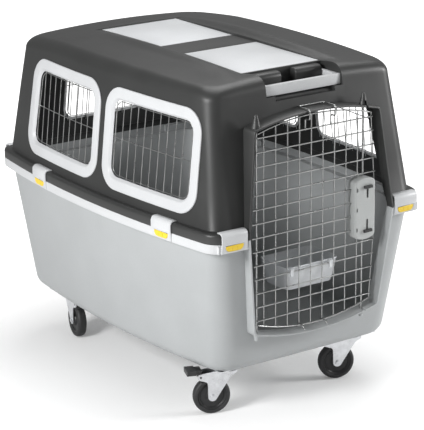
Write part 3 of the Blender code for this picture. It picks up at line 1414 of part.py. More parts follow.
def make_castor(name, place, braked):
    turn = Matrix.Rotation(math.radians(castor_turns()[name]), 4, "Z")
    swivel = place @ turn
    plate_top = -GAP
    plate_low = plate_top - PLATE_SHEET
    race_low = plate_low - RACE_HEIGHT
    fork_top = race_low - GAP
    fork_low = fork_top - FORK_SHEET
    nut_top = fork_low - GAP

    plate = add_part(f"castor_plate_{name}", box_mesh("plate", (
        place.translation + Vector((-PLATE_LENGTH / 2, -PLATE_WIDTH / 2, plate_low)),
        place.translation + Vector((PLATE_LENGTH / 2, PLATE_WIDTH / 2, plate_top)))), zinc())
    pin = [(0.0, plate_low + 0.001), (RACE_RADIUS, plate_low + 0.001),
           (RACE_RADIUS, race_low), (KINGPIN_RADIUS, race_low),
           (KINGPIN_RADIUS, nut_top), (KINGPIN_RADIUS + 0.003, nut_top),
           (KINGPIN_RADIUS + 0.003, nut_top - 0.005), (0.0, nut_top - 0.005)]
    boolean(plate, add_cutter(f"race {name}", turned("race", pin, 12, place)), "UNION")
    boolean(plate, add_cutter(f"rivets {name}", rivets(place)), "UNION")

    axle_z = WHEEL_RADIUS - CASTOR_HEIGHT
    fork = fork_mesh(fork_top, fork_low, axle_z)
    fork_part = add_part(f"castor_fork_{name}", fork, zinc())
    fork_part.matrix_world = swivel
    cut = [((0, 0, fork_low - 0.01), (0, 0, fork_top + 0.01), KINGPIN_RADIUS + RUN),
           ((-CASTOR_TRAIL, -0.04, axle_z), (-CASTOR_TRAIL, 0.04, axle_z),
            AXLE_RADIUS + GAP)]
    if braked:
        x, z = brake_pivot(fork_low)
        cut.append(((x, -0.04, z), (x, 0.04, z), BRAKE_PIN + RUN))
    cutter = add_cutter(f"fork holes {name}", rod_mesh("fork holes", cut, 8))
    cutter.matrix_world = swivel
    boolean(fork_part, cutter)

    inner = WHEEL_WIDTH / 2
    wheel_profile = [(AXLE_RADIUS + RUN, inner), (HUB_RADIUS, inner),
                     (DISC_RADIUS, inner - 0.005), (TYRE_INNER, inner - 0.001),
                     (WHEEL_RADIUS - 0.003, inner - 0.001), (WHEEL_RADIUS, inner - 0.005)]
    wheel_profile += [(r, -y) for r, y in reversed(wheel_profile)]
    wheel_profile.append(wheel_profile[0])
    across = swivel @ Matrix.Translation((-CASTOR_TRAIL, 0, axle_z)) \
        @ Matrix.Rotation(math.pi / 2, 4, "X")
    wheel = add_part(f"castor_wheel_{name}", turned("wheel", wheel_profile, 20, across),
                     black_rubber())
    smooth(wheel)

    leg_out = inner + 0.0015 + FORK_SHEET
    head = leg_out + GAP
    axle_profile = [(0.0, head + 0.004), (AXLE_HEAD, head + 0.004), (AXLE_HEAD, head),
                    (AXLE_RADIUS, head), (AXLE_RADIUS, -head), (AXLE_HEAD, -head),
                    (AXLE_HEAD, -head - 0.004), (0.0, -head - 0.004)]
    add_part(f"castor_axle_{name}", turned("axle", axle_profile, 8, across), zinc())
    if braked:
        make_brake(name, swivel, fork_low)


def brake_pivot(fork_low):
    """X and Z of the brake pedal's pivot in the castor's own frame."""
    return -CASTOR_TRAIL - BRAKE_BEHIND, fork_low - BRAKE_BELOW


def fork_mesh(fork_top, fork_low, axle_z):
    """Bent sheet fork: a crown with two legs that narrow to the axle's eye."""
    legs = []
    inner = WHEEL_WIDTH / 2 + 0.0015
    outline = [(0.022, fork_top - 0.0002), (0.022, fork_low - 0.003),
               (0.006, fork_low - 0.012)]
    outline += arc((-CASTOR_TRAIL, axle_z), FORK_EYE, -30, -180, 5)
    outline += [(-CASTOR_TRAIL - FORK_EYE - 0.001, axle_z + 0.034),
                (-CASTOR_TRAIL - FORK_EYE - 0.006, axle_z + 0.042)]
    outline += arc(brake_pivot(fork_low), BRAKE_EYE, 260, 100, 5)
    outline.append((-CASTOR_TRAIL + 0.004, fork_top - 0.0002))
    for side in (-1, 1):
        place = Matrix.Translation((0, side * (inner + FORK_SHEET / 2), 0)) \
            @ Matrix.Rotation(math.pi / 2, 4, "X")
        legs.append(outline_prism("leg", outline, FORK_SHEET / 2, place))
    bm = bmesh.new()
    for leg in legs:
        bm.from_mesh(leg)
    reach = inner + FORK_SHEET * 0.9
    put_box(bm, (-CASTOR_TRAIL + 0.006, -reach, fork_low), (0.0215, reach, fork_top))
    put_rod(bm, (0, 0, fork_low), (0, 0, fork_top), RACE_RADIUS - 0.001, 12)
    return union_of_islands(to_mesh("fork", bm), "fork")


def make_brake(name, swivel, fork_low):
    """Foot pedal on a pin through the fork's rear eyes."""
    x, z = brake_pivot(fork_low)
    half = WHEEL_WIDTH / 2 + 0.0015 - GAP
    out = half + FORK_SHEET + 2 * GAP
    bm = bmesh.new()
    put_rod(bm, (x, -out, z), (x, out, z), BRAKE_PIN, 10)
    put_box(bm, (x - 0.0042, -half, z - 0.0042), (x + 0.0042, half, z + 0.010))
    put_box(bm, (x - 0.0018, -half, z - BRAKE_LOBE), (x + 0.0018, half, z))
    put_box(bm, (x - 0.016, -half, z + 0.0085), (x + 0.0025, half, z + 0.0195))
    put_box(bm, (x - 0.036, -BRAKE_PAD_HALF, z + 0.008),
            (x - 0.0125, BRAKE_PAD_HALF, z + 0.020))
    mesh = union_of_islands(to_mesh("brake", bm), "brake")
    pedal = add_part(f"brake_pedal_{name}", mesh, black_plastic())
    pedal.matrix_world = swivel
    return pedal


def rivets(place):
    """Rivets that hold a castor's plate, with their heads sunk in the tray's floor."""
    bm = bmesh.new()
    low = -GAP - PLATE_SHEET
    top, high = WALL - GAP, WALL - RIVET_SINK + GAP
    profile = [(0.0, top), (RIVET_HEAD, top), (RIVET_HEAD, high),
               (BOLT_RADIUS, high), (BOLT_RADIUS, low - 0.0015), (0.0, low - 0.0015)]
    for x, y in bolt_pattern():
        bm.from_mesh(turned("rivet", profile, 6, place @ Matrix.Translation((x, y, 0))))
    return to_mesh("rivets", bm)


def main():
    clear_scene()
    make_tray()
    smooth(make_cover())
    make_lid("front_roof_lid", True)
    make_lid("rear_roof_lid", False)
    make_handle()
    for window in windows():
        make_bezel(window)
        make_grille(window)
    make_door()
    make_hinge_rod()
    make_latch_housing()
    make_latch_back()
    make_latch_set("upper", 1)
    make_latch_set("lower", -1)
    make_bowl()
    for name, place in castor_places():
        make_castor(name, place, name.endswith("left"))


main()
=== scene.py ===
"""Looks of a rolling pet travel crate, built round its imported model.

Everything is in metres in the model's own frame: +Z up, X across the crate and Y along
it, with the wire door towards -Y and the floor at zero.
"""
import logging
import math
from dataclasses import dataclass, field
from enum import Enum
from typing import Callable, Iterable, Optional, Sequence

import bmesh
import bpy
from mathutils import Matrix, Vector


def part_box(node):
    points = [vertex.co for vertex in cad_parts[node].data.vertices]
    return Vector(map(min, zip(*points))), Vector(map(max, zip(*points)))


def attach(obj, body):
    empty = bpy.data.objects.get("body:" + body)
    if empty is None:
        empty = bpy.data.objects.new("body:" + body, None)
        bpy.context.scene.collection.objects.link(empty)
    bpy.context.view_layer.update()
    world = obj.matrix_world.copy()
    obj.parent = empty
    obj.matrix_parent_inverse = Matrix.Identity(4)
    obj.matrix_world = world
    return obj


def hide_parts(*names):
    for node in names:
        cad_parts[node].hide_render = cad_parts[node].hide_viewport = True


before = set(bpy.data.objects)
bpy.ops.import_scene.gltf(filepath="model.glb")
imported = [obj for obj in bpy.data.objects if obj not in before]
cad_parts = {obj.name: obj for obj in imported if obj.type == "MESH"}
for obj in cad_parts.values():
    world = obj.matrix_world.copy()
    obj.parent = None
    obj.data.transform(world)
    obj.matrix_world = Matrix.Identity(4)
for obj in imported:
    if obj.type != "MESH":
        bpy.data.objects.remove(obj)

LOG = logging.getLogger("crate")
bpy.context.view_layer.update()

Point = tuple[float, float, float]
Flat = tuple[float, float]
Run = tuple[Sequence[Point], float, bool]


class Slot(Enum):
    """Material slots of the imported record."""

    COVER = "cover_dark"
    TRAY = "tray_grey"
    PALE = "pale_plastic"
    WIRE = "bright_wire"
    ZINC = "zinc"
    BLACK = "black_plastic"
    TYRE = "tyre"
    YELLOW = "yellow_plastic"
    BOWL = "bowl_plastic"


class Join(Enum):
    """How one solid is combined with another."""

    ADD = "UNION"
    CUT = "DIFFERENCE"
    KEEP = "INTERSECT"


@dataclass(frozen=True)
class Shading:
    """A node tree of a material or the world, with short ways to fill it."""

    tree: bpy.types.NodeTree

    def feed(self, node: bpy.types.Node, inputs: dict[str | int, object]) -> None:
        """Link or set a node's inputs.

        Args:
            node: The node.
            inputs: A socket or a plain value for each input, by name or number.
        """
        for key, value in inputs.items():
            if isinstance(value, bpy.types.NodeSocket):
                self.tree.links.new(value, node.inputs[key])
            else:
                node.inputs[key].default_value = value

    def add(self, kind: str, inputs: dict[str | int, object],
            operation: str = "") -> bpy.types.Node:
        """Add a node and fill its inputs.

        Args:
            kind: Blender's name of its type, without the first word.
            inputs: A socket or a plain value for each input, by name or number.
            operation: What a maths node works out.

        Returns:
            The node.
        """
        node = self.tree.nodes.new(f"ShaderNode{kind}")
        if operation:
            node.operation = operation
        self.feed(node, inputs)
        return node

    def rescale(self, value: bpy.types.NodeSocket, start: Flat,
                end: Flat) -> bpy.types.NodeSocket:
        """Bring a value from one range into another.

        Args:
            value: The value's socket.
            start: Range that it comes from.
            end: Range that it is brought into.

        Returns:
            The new value's socket.
        """
        return self.add("MapRange", {"Value": value, "From Min": start[0],
                                     "From Max": start[1], "To Min": end[0],
                                     "To Max": end[1]}).outputs["Result"]

    def noise(self, place: bpy.types.NodeSocket, scale: float,
              detail: float) -> bpy.types.NodeSocket:
        """Add a noise texture.

        Args:
            place: Coordinates that it reads.
            scale: Repeats per metre.
            detail: Octaves.

        Returns:
            The noise's value.
        """
        return self.add("TexNoise", {"Vector": place, "Scale": scale, "Detail": detail,
                                     "Roughness": 0.55}).outputs["Fac"]

    def seen(self) -> bpy.types.NodeSocket:
        """Value that is 1 for what the camera sees, straight or through clear plastic."""
        rays = self.add("LightPath", {}).outputs
        return self.add("Math", {0: rays["Is Camera Ray"], 1: rays["Is Transmission Ray"]},
                        "MAXIMUM").outputs["Value"]


@dataclass(frozen=True)
class Finish:
    """A procedural surface: colour, gloss and the relief that the real one shows.

    Grain is a fine moulded or drawn relief, cloud a slow drift of colour and gloss, and
    wear a paler tone on edges that hands and floors rub.
    """

    name: str
    colour: tuple[float, float, float]
    roughness: float
    metallic: float = 0.0
    grain_scale: float = 900.0
    grain_depth: float = 0.00012
    grain_strength: float = 0.25
    cloud: float = 0.08
    cloud_scale: float = 7.0
    gloss_drift: float = 0.06
    wear: float = 0.0
    coat: float = 0.0
    alpha: float = 1.0
    transmission: float = 0.0
    specular: float = 0.5
    streaks: Optional[tuple[float, float, float]] = None

    def material(self) -> bpy.types.Material:
        """Return the Blender material, made on first use.

        Returns:
            The node material of this finish.
        """
        found = bpy.data.materials.get(self.name)
        if found is not None:
            return found
        made = bpy.data.materials.new(self.name)
        made.use_nodes = True
        shading = Shading(made.node_tree)
        place = grain_place = shading.add("TexCoord", {}).outputs["Object"]
        if self.streaks is not None:
            stretch = shading.add("Mapping", {"Vector": place, "Scale": self.streaks})
            grain_place = stretch.outputs["Vector"]
        cloud = shading.noise(place, self.cloud_scale, 4.0)
        grain = shading.noise(grain_place, self.grain_scale, 3.0)
        tone = self._painted_grain_shade(shading, self._clouded(shading, cloud), grain)
        if self.wear > 0.0:
            tone = self._worn(shading, tone, grain)
        gloss = (max(0.02, self.roughness - self.gloss_drift),
                 min(1.0, self.roughness + self.gloss_drift))
        bump = shading.add("Bump", {"Height": grain, "Strength": self.grain_strength,
                                    "Distance": self.grain_depth})
        shading.feed(made.node_tree.nodes["Principled BSDF"], {
            "Base Color": tone, "Roughness": shading.rescale(cloud, (0.25, 0.75), gloss),
            "Normal": bump.outputs["Normal"], "Metallic": self.metallic,
            "Alpha": self.alpha, "Coat Weight": self.coat, "Coat Roughness": 0.2,
            "Transmission Weight": self.transmission, "Specular IOR Level": self.specular})
        return made

    def _clouded(self, shading: Shading, cloud: bpy.types.NodeSocket) -> bpy.types.NodeSocket:
        """Let the tone drift with the cloud.

        Args:
            shading: Nodes of the material.
            cloud: Slow noise.

        Returns:
            The colour's socket.
        """
        ramp = shading.add("ValToRGB", {"Fac": cloud})
        stops = zip(ramp.color_ramp.elements, (0.3, 0.7), (-self.cloud, self.cloud))
        for stop, position, change in stops:
            stop.position = position
            stop.color = (*[min(1.0, c * (1.0 + change)) for c in self.colour], 1.0)
        return ramp.outputs["Color"]

    def _painted_grain_shade(self, shading: Shading, tone: bpy.types.NodeSocket,
                  grain: bpy.types.NodeSocket) -> bpy.types.NodeSocket:
        """Paint shade into the grain: a little darker in its hollows, a little lighter on its
        tops.

        Args:
            shading: Nodes of the material.
            tone: Colour so far.
            grain: Relief.

        Returns:
            The new colour's socket.
        """
        # Painted shade of the grain's relief: darker in the hollows, a little lighter on the
        # tops.
        shade = shading.rescale(grain, (0.3, 0.7), (0.93, 1.04))
        return shading.add("VectorMath", {0: tone, "Scale": shade}, "SCALE").outputs["Vector"]

    def _worn(self, shading: Shading, tone: bpy.types.NodeSocket,
              grain: bpy.types.NodeSocket) -> bpy.types.NodeSocket:
        """Pale the edges where the mesh is convex.

        Args:
            shading: Nodes of the material.
            tone: Colour so far.
            grain: Relief, which breaks the wear up.

        Returns:
            The new colour's socket.
        """
        edge = shading.add("NewGeometry", {}).outputs["Pointiness"]
        rise = shading.rescale(edge, (0.52, 0.60), (0.0, self.wear))
        broken = shading.add("Math", {0: rise, 1: grain}, "MULTIPLY").outputs["Value"]
        mix = shading.tree.nodes.new("ShaderNodeMix")
        mix.data_type = "RGBA"
        paler = (*[min(1.0, c * 1.6 + 0.05) for c in self.colour], 1.0)
        shading.feed(mix, {"Factor": broken, "A": tone, "B": paler})
        return mix.outputs["Result"]


COVER_FINISH = Finish("dark grey grained moulding", (0.029, 0.0298, 0.0293), 0.42,
                      grain_scale=1100.0, grain_depth=0.00025, grain_strength=0.35,
                      cloud=0.10, wear=0.35, specular=0.5)
TRAY_FINISH = Finish("mid grey grained moulding", (0.40, 0.415, 0.42), 0.46,
                     grain_scale=1000.0, grain_depth=0.0002, grain_strength=0.3,
                     cloud=0.04, wear=0.2)
BAND_FINISH = Finish("pale grey smooth moulding", (0.58, 0.59, 0.60), 0.38,
                     grain_scale=700.0, grain_depth=0.00008, cloud=0.03, wear=0.15)
PALE_FINISH = Finish("pale grey plastic", (0.57, 0.58, 0.59), 0.4,
                     grain_scale=800.0, grain_depth=0.0001, cloud=0.035, wear=0.15)
LATCH_FINISH = Finish("mid grey latch plastic", (0.44, 0.455, 0.45), 0.42,
                      grain_scale=800.0, grain_depth=0.0001, cloud=0.05, wear=0.2)
LID_FINISH = Finish("pale grey lid plastic", (0.63, 0.645, 0.66), 0.42,
                    grain_scale=850.0, grain_depth=0.00015, cloud=0.04, wear=0.15)
WIRE_FINISH = Finish("bright plated wire", (0.43, 0.435, 0.43), 0.30, metallic=1.0,
                     grain_scale=600.0, grain_depth=0.00005, cloud=0.10,
                     cloud_scale=30.0, gloss_drift=0.07)
ZINC_FINISH = Finish("zinc plated sheet", (0.74, 0.75, 0.77), 0.32, metallic=1.0,
                     grain_scale=260.0, grain_depth=0.00006, cloud=0.12,
                     cloud_scale=60.0, gloss_drift=0.09, streaks=(1.0, 1.0, 6.0))
BLACK_FINISH = Finish("black moulded plastic", (0.016, 0.016, 0.017), 0.4,
                      grain_scale=900.0, grain_depth=0.0001, cloud=0.15, wear=0.3)
TYRE_FINISH = Finish("black solid tyre", (0.018, 0.018, 0.019), 0.55,
                     grain_scale=500.0, grain_depth=0.0002, cloud=0.2, wear=0.5)
YELLOW_FINISH = Finish("yellow button plastic", (0.83, 0.58, 0.03), 0.34,
                       grain_scale=900.0, grain_depth=0.00006, cloud=0.05, coat=0.2)
BOWL_FINISH = Finish("milky clear plastic", (0.86, 0.88, 0.9), 0.22,
                     grain_scale=400.0, grain_depth=0.00004, cloud=0.03,
                     transmission=0.35, alpha=0.88)


# Mesh tools

def mesh_from(bm: bmesh.types.BMesh, name: str) -> bpy.types.Mesh:
    """Turn a bmesh into a mesh with its faces pointing out.

    Args:
        bm: The bmesh, which is freed.
        name: Name of the mesh.

    Returns:
        The new mesh.
    """
    bmesh.ops.recalc_face_normals(bm, faces=bm.faces)
    mesh = bpy.data.meshes.new(name)
    bm.to_mesh(mesh)
    bm.free()
    return mesh


def loft(name: str, rings: Sequence[Sequence[Point]], cap_first: bool = True,
         cap_last: bool = True, closed: bool = False) -> bpy.types.Mesh:
    """Skin a row of rings of equal length.

    Args:
        name: Name of the mesh.
        rings: Closed rings of points, one after another.
        cap_first: Whether the first ring is filled.
        cap_last: Whether the last ring is filled.
        closed: Whether the last ring joins the first.

    Returns:
        The skinned mesh.
    """
    bm = bmesh.new()
    rows = [[bm.verts.new(point) for point in ring] for ring in rings]
    pairs = list(zip(rows, rows[1:]))
    if closed:
        pairs.append((rows[-1], rows[0]))
    for lower, upper in pairs:
        count = len(lower)
        for i in range(count):
            j = (i + 1) % count
            bm.faces.new((lower[i], lower[j], upper[j], upper[i]))
    if cap_first and not closed:
        bm.faces.new(rows[0][::-1])
    if cap_last and not closed:
        bm.faces.new(rows[-1])
    return mesh_from(bm, name)


def arc(centre: Flat, radius: float, start: float, end: float, steps: int) -> list[Flat]:
    """Points of a flat arc, both ends included.

    Args:
        centre: Middle of the arc.
        radius: Its radius.
        start: First angle in degrees.
        end: Last angle in degrees.
        steps: Number of chords.

    Returns:
        The points in order.
    """
    points = []
    for k in range(steps + 1):
        angle = math.radians(start + (end - start) * k / steps)
        points.append((centre[0] + radius * math.cos(angle),
                       centre[1] + radius * math.sin(angle)))
    return points


def put_box(bm: bmesh.types.BMesh, low: Sequence[float], high: Sequence[float],
            place: Matrix = Matrix.Identity(4)) -> None:
    """Add a box to a bmesh.

    Args:
        bm: Where it goes.
        low: One corner.
        high: The opposite corner.
        place: Matrix that moves the box.
    """
    a, b = Vector(low), Vector(high)
    size = Vector(tuple(abs(c) for c in (b - a)))
    matrix = place @ Matrix.Translation((a + b) / 2) @ Matrix.Diagonal((*size, 1.0))
    bmesh.ops.create_cube(bm, size=1.0, matrix=matrix)


def box_mesh(name: str, low: Sequence[float], high: Sequence[float]) -> bpy.types.Mesh:
    """Make a box.

    Args:
        name: Name of the mesh.
        low: One corner.
        high: The opposite corner.

    Returns:
        The box's mesh.
    """
    bm = bmesh.new()
    put_box(bm, low, high)
    return mesh_from(bm, name)


def put_rod(bm: bmesh.types.BMesh, start: Sequence[float], end: Sequence[float],
            radius: float, sides: int = 24, end_radius: Optional[float] = None) -> None:
    """Add a capped cylinder or cone to a bmesh.

    Args:
        bm: Where it goes.
        start: Middle of one end.
        end: Middle of the other end.
        radius: Radius at the start.
        sides: Number of flats.
        end_radius: Radius at the end, or None for a cylinder.
    """
    a, b = Vector(start), Vector(end)
    along = b - a
    turn = along.to_track_quat("Z", "Y").to_matrix().to_4x4()
    top = radius if end_radius is None else end_radius
    bmesh.ops.create_cone(bm, cap_ends=True, segments=sides, radius1=radius, radius2=top,
                          depth=along.length, matrix=Matrix.Translation((a + b) / 2) @ turn)


def turned(name: str, profile: Sequence[Flat], sides: int, place: Matrix,
           hollow: bool = False) -> bpy.types.Mesh:
    """Turn a profile about local Z.

    Args:
        name: Name of the mesh.
        profile: Radius and height of each point, top to bottom on the outer side.
        sides: Number of flats.
        place: Matrix that places the turned piece.
        hollow: Whether the profile closes on itself round an open bore.

    Returns:
        The turned mesh.
    """
    rings = []
    for radius, height in profile:
        ring = []
        for k in range(sides):
            angle = 2 * math.pi * k / sides
            point = place @ Vector((max(radius, 0.00001) * math.cos(angle),
                                    max(radius, 0.00001) * math.sin(angle), height))
            ring.append(tuple(point))
        rings.append(ring)
    return loft(name, rings, not hollow, not hollow, hollow)


def prism(name: str, outline: Sequence[Flat], half: float, place: Matrix) -> bpy.types.Mesh:
    """Extrude a flat outline by half each way along local Z.

    Args:
        name: Name of the mesh.
        outline: Points in local X and Y.
        half: Half of the thickness.
        place: Matrix that places the prism.

    Returns:
        The prism's mesh.
    """
    rings = [[tuple(place @ Vector((x, y, z))) for x, y in outline] for z in (-half, half)]
    return loft(name, rings)


def sideways(middle: Point) -> Matrix:
    """Matrix of a prism that lies across the crate, its X to the rear and its Y up."""
    return (Matrix.Translation(middle) @ Matrix.Rotation(math.pi / 2, 4, "Z")
            @ Matrix.Rotation(math.pi / 2, 4, "X"))


def solid(name: str, mesh: bpy.types.Mesh) -> bpy.types.Object:
    """Link a mesh as an object.

    Args:
        name: Name of the object.
        mesh: Its mesh.

    Returns:
        The object.
    """
    made = bpy.data.objects.new(name, mesh)
    bpy.context.scene.collection.objects.link(made)
    return made


def bake(obj: bpy.types.Object) -> None:
    """Apply an object's modifiers to its mesh.

    Args:
        obj: The object to settle.
    """
    bpy.context.view_layer.update()
    graph = bpy.context.evaluated_depsgraph_get()
    mesh = bpy.data.meshes.new_from_object(obj.evaluated_get(graph))
    mesh.name = obj.data.name
    obj.modifiers.clear()
    obj.data = mesh


def combine(obj: bpy.types.Object, others: Iterable[bpy.types.Mesh], how: Join,
            within: bool = False) -> None:
    """Join, cut or keep an object by other solids, and drop them.

    Args:
        obj: The object that changes.
        others: Closed meshes to combine with it.
        how: Join.ADD, Join.CUT or Join.KEEP.
        within: Whether a mesh holds bodies that cross each other.
    """
    for mesh in others:
        tool = solid("tool", mesh)
        step = obj.modifiers.new("combine", "BOOLEAN")
        step.operation = how.value
        step.solver = "EXACT"
        step.use_self = within
        step.object = tool
        bake(obj)
        bpy.data.objects.remove(tool, do_unlink=True)


def round_edges(obj: bpy.types.Object, width: float, segments: int = 3,
                degrees: float = 35.0) -> None:
    """Round an object's sharp edges.

    Args:
        obj: The object.
        width: Width of the rounding.
        segments: Facets across it.
        degrees: Smallest angle that is rounded.
    """
    step = obj.modifiers.new("round", "BEVEL")
    step.width = width
    step.segments = segments
    step.limit_method = "ANGLE"
    step.angle_limit = math.radians(degrees)
    step.harden_normals = False
    bake(obj)


def smooth(obj: bpy.types.Object, degrees: float = 32.0) -> None:
    """Shade an object smooth, but for edges sharper than the angle.

    Args:
        obj: The object.
        degrees: Angle above which an edge stays sharp.
    """
    obj.data.shade_smooth()
    obj.data.set_sharp_from_angle(angle=math.radians(degrees))


def dress(obj: bpy.types.Object, finish: Finish, slot: Slot, body: str,
          *replaced: str) -> bpy.types.Object:
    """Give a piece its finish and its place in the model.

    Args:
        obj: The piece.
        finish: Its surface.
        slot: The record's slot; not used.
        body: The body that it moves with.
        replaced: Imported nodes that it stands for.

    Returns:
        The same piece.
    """
    obj.data.materials.clear()
    obj.data.materials.append(finish.material())
    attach(obj, body)
    if replaced:
        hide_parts(*replaced)
    LOG.info("%s: %s", obj.name, finish.name)
    return obj


def dress_node(name: str, finish: Finish) -> None:
    """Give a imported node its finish.

    Args:
        name: The node's name.
        finish: Its surface.
    """
    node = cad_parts[name]
    material = finish.material()
    if not node.material_slots:
        node.data.materials.append(material)
    for holder in node.material_slots:
        holder.material = material
    LOG.info("%s: %s", name, finish.name)


def fillet(points: Sequence[Sequence[float]], radius: float, steps: int = 5) -> list[Point]:
    """Round the corners of a bent wire.

    Args:
        points: The wire's corner points.
        radius: Bend radius at its middle line.
        steps: Chords in each bend.

    Returns:
        The points of the bent line.
    """
    corners = [Vector(p) for p in points]
    line: list[Point] = [tuple(corners[0])]
    for before, corner, after in zip(corners, corners[1:], corners[2:]):
        back, ahead = (before - corner), (after - corner)
        reach = min(radius, back.length * 0.48, ahead.length * 0.48)
        start, end = corner + back.normalized() * reach, corner + ahead.normalized() * reach
        for k in range(steps + 1):
            t = k / steps
            line.append(tuple(start.lerp(corner, t).lerp(corner.lerp(end, t), t)))
    line.append(tuple(corners[-1]))
    return line


def wires(name: str, runs: Sequence[Run], resolution: int = 3) -> bpy.types.Object:
    """Make one piece of several round wires.

    Args:
        name: Name of the piece.
        runs: For each wire its points, its radius and whether it closes on itself.
        resolution: Blender's bevel resolution of the section.

    Returns:
        The wires as one mesh object.
    """
    curve = bpy.data.curves.new(name, "CURVE")
    curve.dimensions = "3D"
    curve.bevel_depth = 1.0
    curve.bevel_resolution = resolution
    curve.use_fill_caps = True
    for points, radius, closed in runs:
        spline = curve.splines.new("POLY")
        spline.points.add(len(points) - 1)
        for knot, point in zip(spline.points, points):
            knot.co = (*point, 1.0)
            knot.radius = radius
        spline.use_cyclic_u = closed
    line = bpy.data.objects.new(name, curve)
    bpy.context.scene.collection.objects.link(line)
    bpy.context.view_layer.update()
    graph = bpy.context.evaluated_depsgraph_get()
    mesh = bpy.data.meshes.new_from_object(line.evaluated_get(graph))
    bpy.data.objects.remove(line, do_unlink=True)
    piece = solid(name, mesh)
    smooth(piece, 50.0)
    return piece


@dataclass(frozen=True)
class Body:
    """The crate's main sizes, in metres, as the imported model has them."""

    tray_z: float = 0.128
    seam_z: float = 0.492
    wall: float = 0.004
    gap: float = 0.0003
    rim_half_width: float = 0.365
    rim_half_length: float = 0.520
    side_bow: float = 0.043
    end_bow: float = 0.006
    rim_band: float = 0.024
    rim_reach: float = 0.020
    rim_corner: float = 0.050
    base_half_width: float = 0.302
    base_half_length: float = 0.460
    base_corner: float = 0.070
    base_round: float = 0.028
    flange_height: float = 0.026
    flange_round: float = 0.008
    side_draft: float = 0.110
    end_draft: float = 0.180
    cover_corner: float = 0.038
    roof_height: float = 0.384
    roof_fall_side: float = 0.006
    roof_fall_end: float = 0.015
    roof_crest_y: float = -0.080
    shoulder: float = 0.031
    step: float = 0.008
    rail: float = 0.150
    step_width: float = 0.036
    step_middle: float = -0.105
    step_reach: float = 0.33

    @property
    def band_z(self) -> float:
        """Underside of the tray's rim band."""
        return self.seam_z - self.rim_band

    @property
    def ledge_z(self) -> float:
        """Top of the cover's flange."""
        return self.seam_z + self.gap + self.flange_height

    @property
    def roof_z(self) -> float:
        """Crown of the roof."""
        return self.seam_z + self.roof_height

    @property
    def wall_half_width(self) -> float:
        """Half width of the walls where they leave the rim."""
        return self.rim_half_width - self.rim_reach

    @property
    def wall_half_length(self) -> float:
        """Half length of the walls where they leave the rim."""
        return self.rim_half_length - self.rim_reach

    def cover_half_width(self, z: float) -> float:
        """Half width of the cover's wall at a height."""
        return self.wall_half_width - self.side_draft * (z - self.ledge_z)

    def cover_half_length(self, z: float) -> float:
        """Half length of the cover's wall at a height."""
        return self.wall_half_length - self.end_draft * (z - self.ledge_z)

    def tray_share(self, z: float) -> float:
        """Share of the way from the tray's underside to its band."""
        return (z - self.tray_z) / (self.band_z - self.tray_z)

    def tray_half_length(self, z: float) -> float:
        """Half length of the tray's wall at a height."""
        reach = self.wall_half_length - self.base_half_length
        return self.base_half_length + self.tray_share(z) * reach

    def roof_level(self, x: float, y: float) -> float:
        """Height of the roof's skin over a point, with a step outside each rail."""
        across = min(1.0, max(0.0, (abs(x) - self.rail) / self.step_width))
        along = max(0.0, 1 - ((y - self.step_middle) / self.step_reach) ** 2)
        step = self.step * across * across * (3 - 2 * across) * along
        return (self.roof_z - self.roof_fall_side * (x / 0.2) ** 2
                - self.roof_fall_end * ((y - self.roof_crest_y) / 0.37) ** 2 - step)

    def ring(self, half_width: float, half_length: float, corner: float,
             height: float | Callable[[float, float], float], side_steps: int = 12,
             arc_steps: int = 9, end_steps: int = 8) -> list[Point]:
        """Plan outline with bowed sides and round corners.

        Args:
            half_width: Half width at the middle of the sides.
            half_length: Half length at the middle of the ends.
            corner: Corner radius.
            height: Level of the ring, or its level at each point.
            side_steps: Chords from a side's middle to its corner.
            arc_steps: Chords round a corner.
            end_steps: Chords from a corner to an end's middle.

        Returns:
            The ring's points in order.
        """
        def side(y: float) -> float:
            """X of the side at y."""
            return half_width - self.side_bow * (y / self.rim_half_length) ** 2

        def end(x: float) -> float:
            """Y of the end at x."""
            return half_length - self.end_bow * (x / self.rim_half_width) ** 2

        x_mid, y_mid = half_width - corner, half_length - corner
        tilt_side = tilt_end = 0.0
        y_turn, x_turn = y_mid, x_mid
        for _ in range(6):
            y_turn = y_mid + corner * math.sin(tilt_side)
            tilt_side = math.atan(2 * self.side_bow * y_turn / self.rim_half_length ** 2)
            x_turn = x_mid + corner * math.sin(tilt_end)
            tilt_end = math.atan(2 * self.end_bow * x_turn / self.rim_half_width ** 2)
            x_mid = side(y_turn) - corner * math.cos(tilt_side)
            y_mid = end(x_turn) - corner * math.cos(tilt_end)
        quarter = []
        for k in range(side_steps):
            y = y_turn * k / side_steps
            quarter.append((side(y), y))
        quarter += arc((x_mid, y_mid), corner, math.degrees(tilt_side),
                       90.0 - math.degrees(tilt_end), arc_steps)
        for k in range(1, end_steps + 1):
            x = x_turn * (1 - k / end_steps)
            quarter.append((x, end(x)))
        half = quarter + [(-x, y) for x, y in quarter[-2::-1]]
        full = half + [(x, -y) for x, y in half[-2:0:-1]]
        if callable(height):
            return [(x, y, height(x, y)) for x, y in full]
        return [(x, y, height) for x, y in full]

    def cover_face(self, y: float, z: float, out: float) -> Vector:
        """Point on the right wall of the cover, moved outwards.

        Args:
            y: Place along the crate.
            z: Height.
            out: Distance outwards from the wall.

        Returns:
            The point.
        """
        bow = self.side_bow * (y / self.rim_half_length) ** 2
        normal = Vector((1.0, 2 * self.side_bow * y / self.rim_half_length ** 2,
                         self.side_draft)).normalized()
        return Vector((self.cover_half_width(z) - bow, y, z)) + normal * out

    def rear_face(self, x: float, z: float, out: float) -> Vector:
        """Point on the rear wall of the cover, moved outwards.

        Args:
            x: Place across the crate.
            z: Height.
            out: Distance outwards from the wall.

        Returns:
            The point.
        """
        bow = self.end_bow * (x / self.rim_half_width) ** 2
        normal = Vector((2 * self.end_bow * x / self.rim_half_width ** 2, 1.0,
                         self.end_draft)).normalized()
        return Vector((x, self.cover_half_length(z) - bow, z)) + normal * out


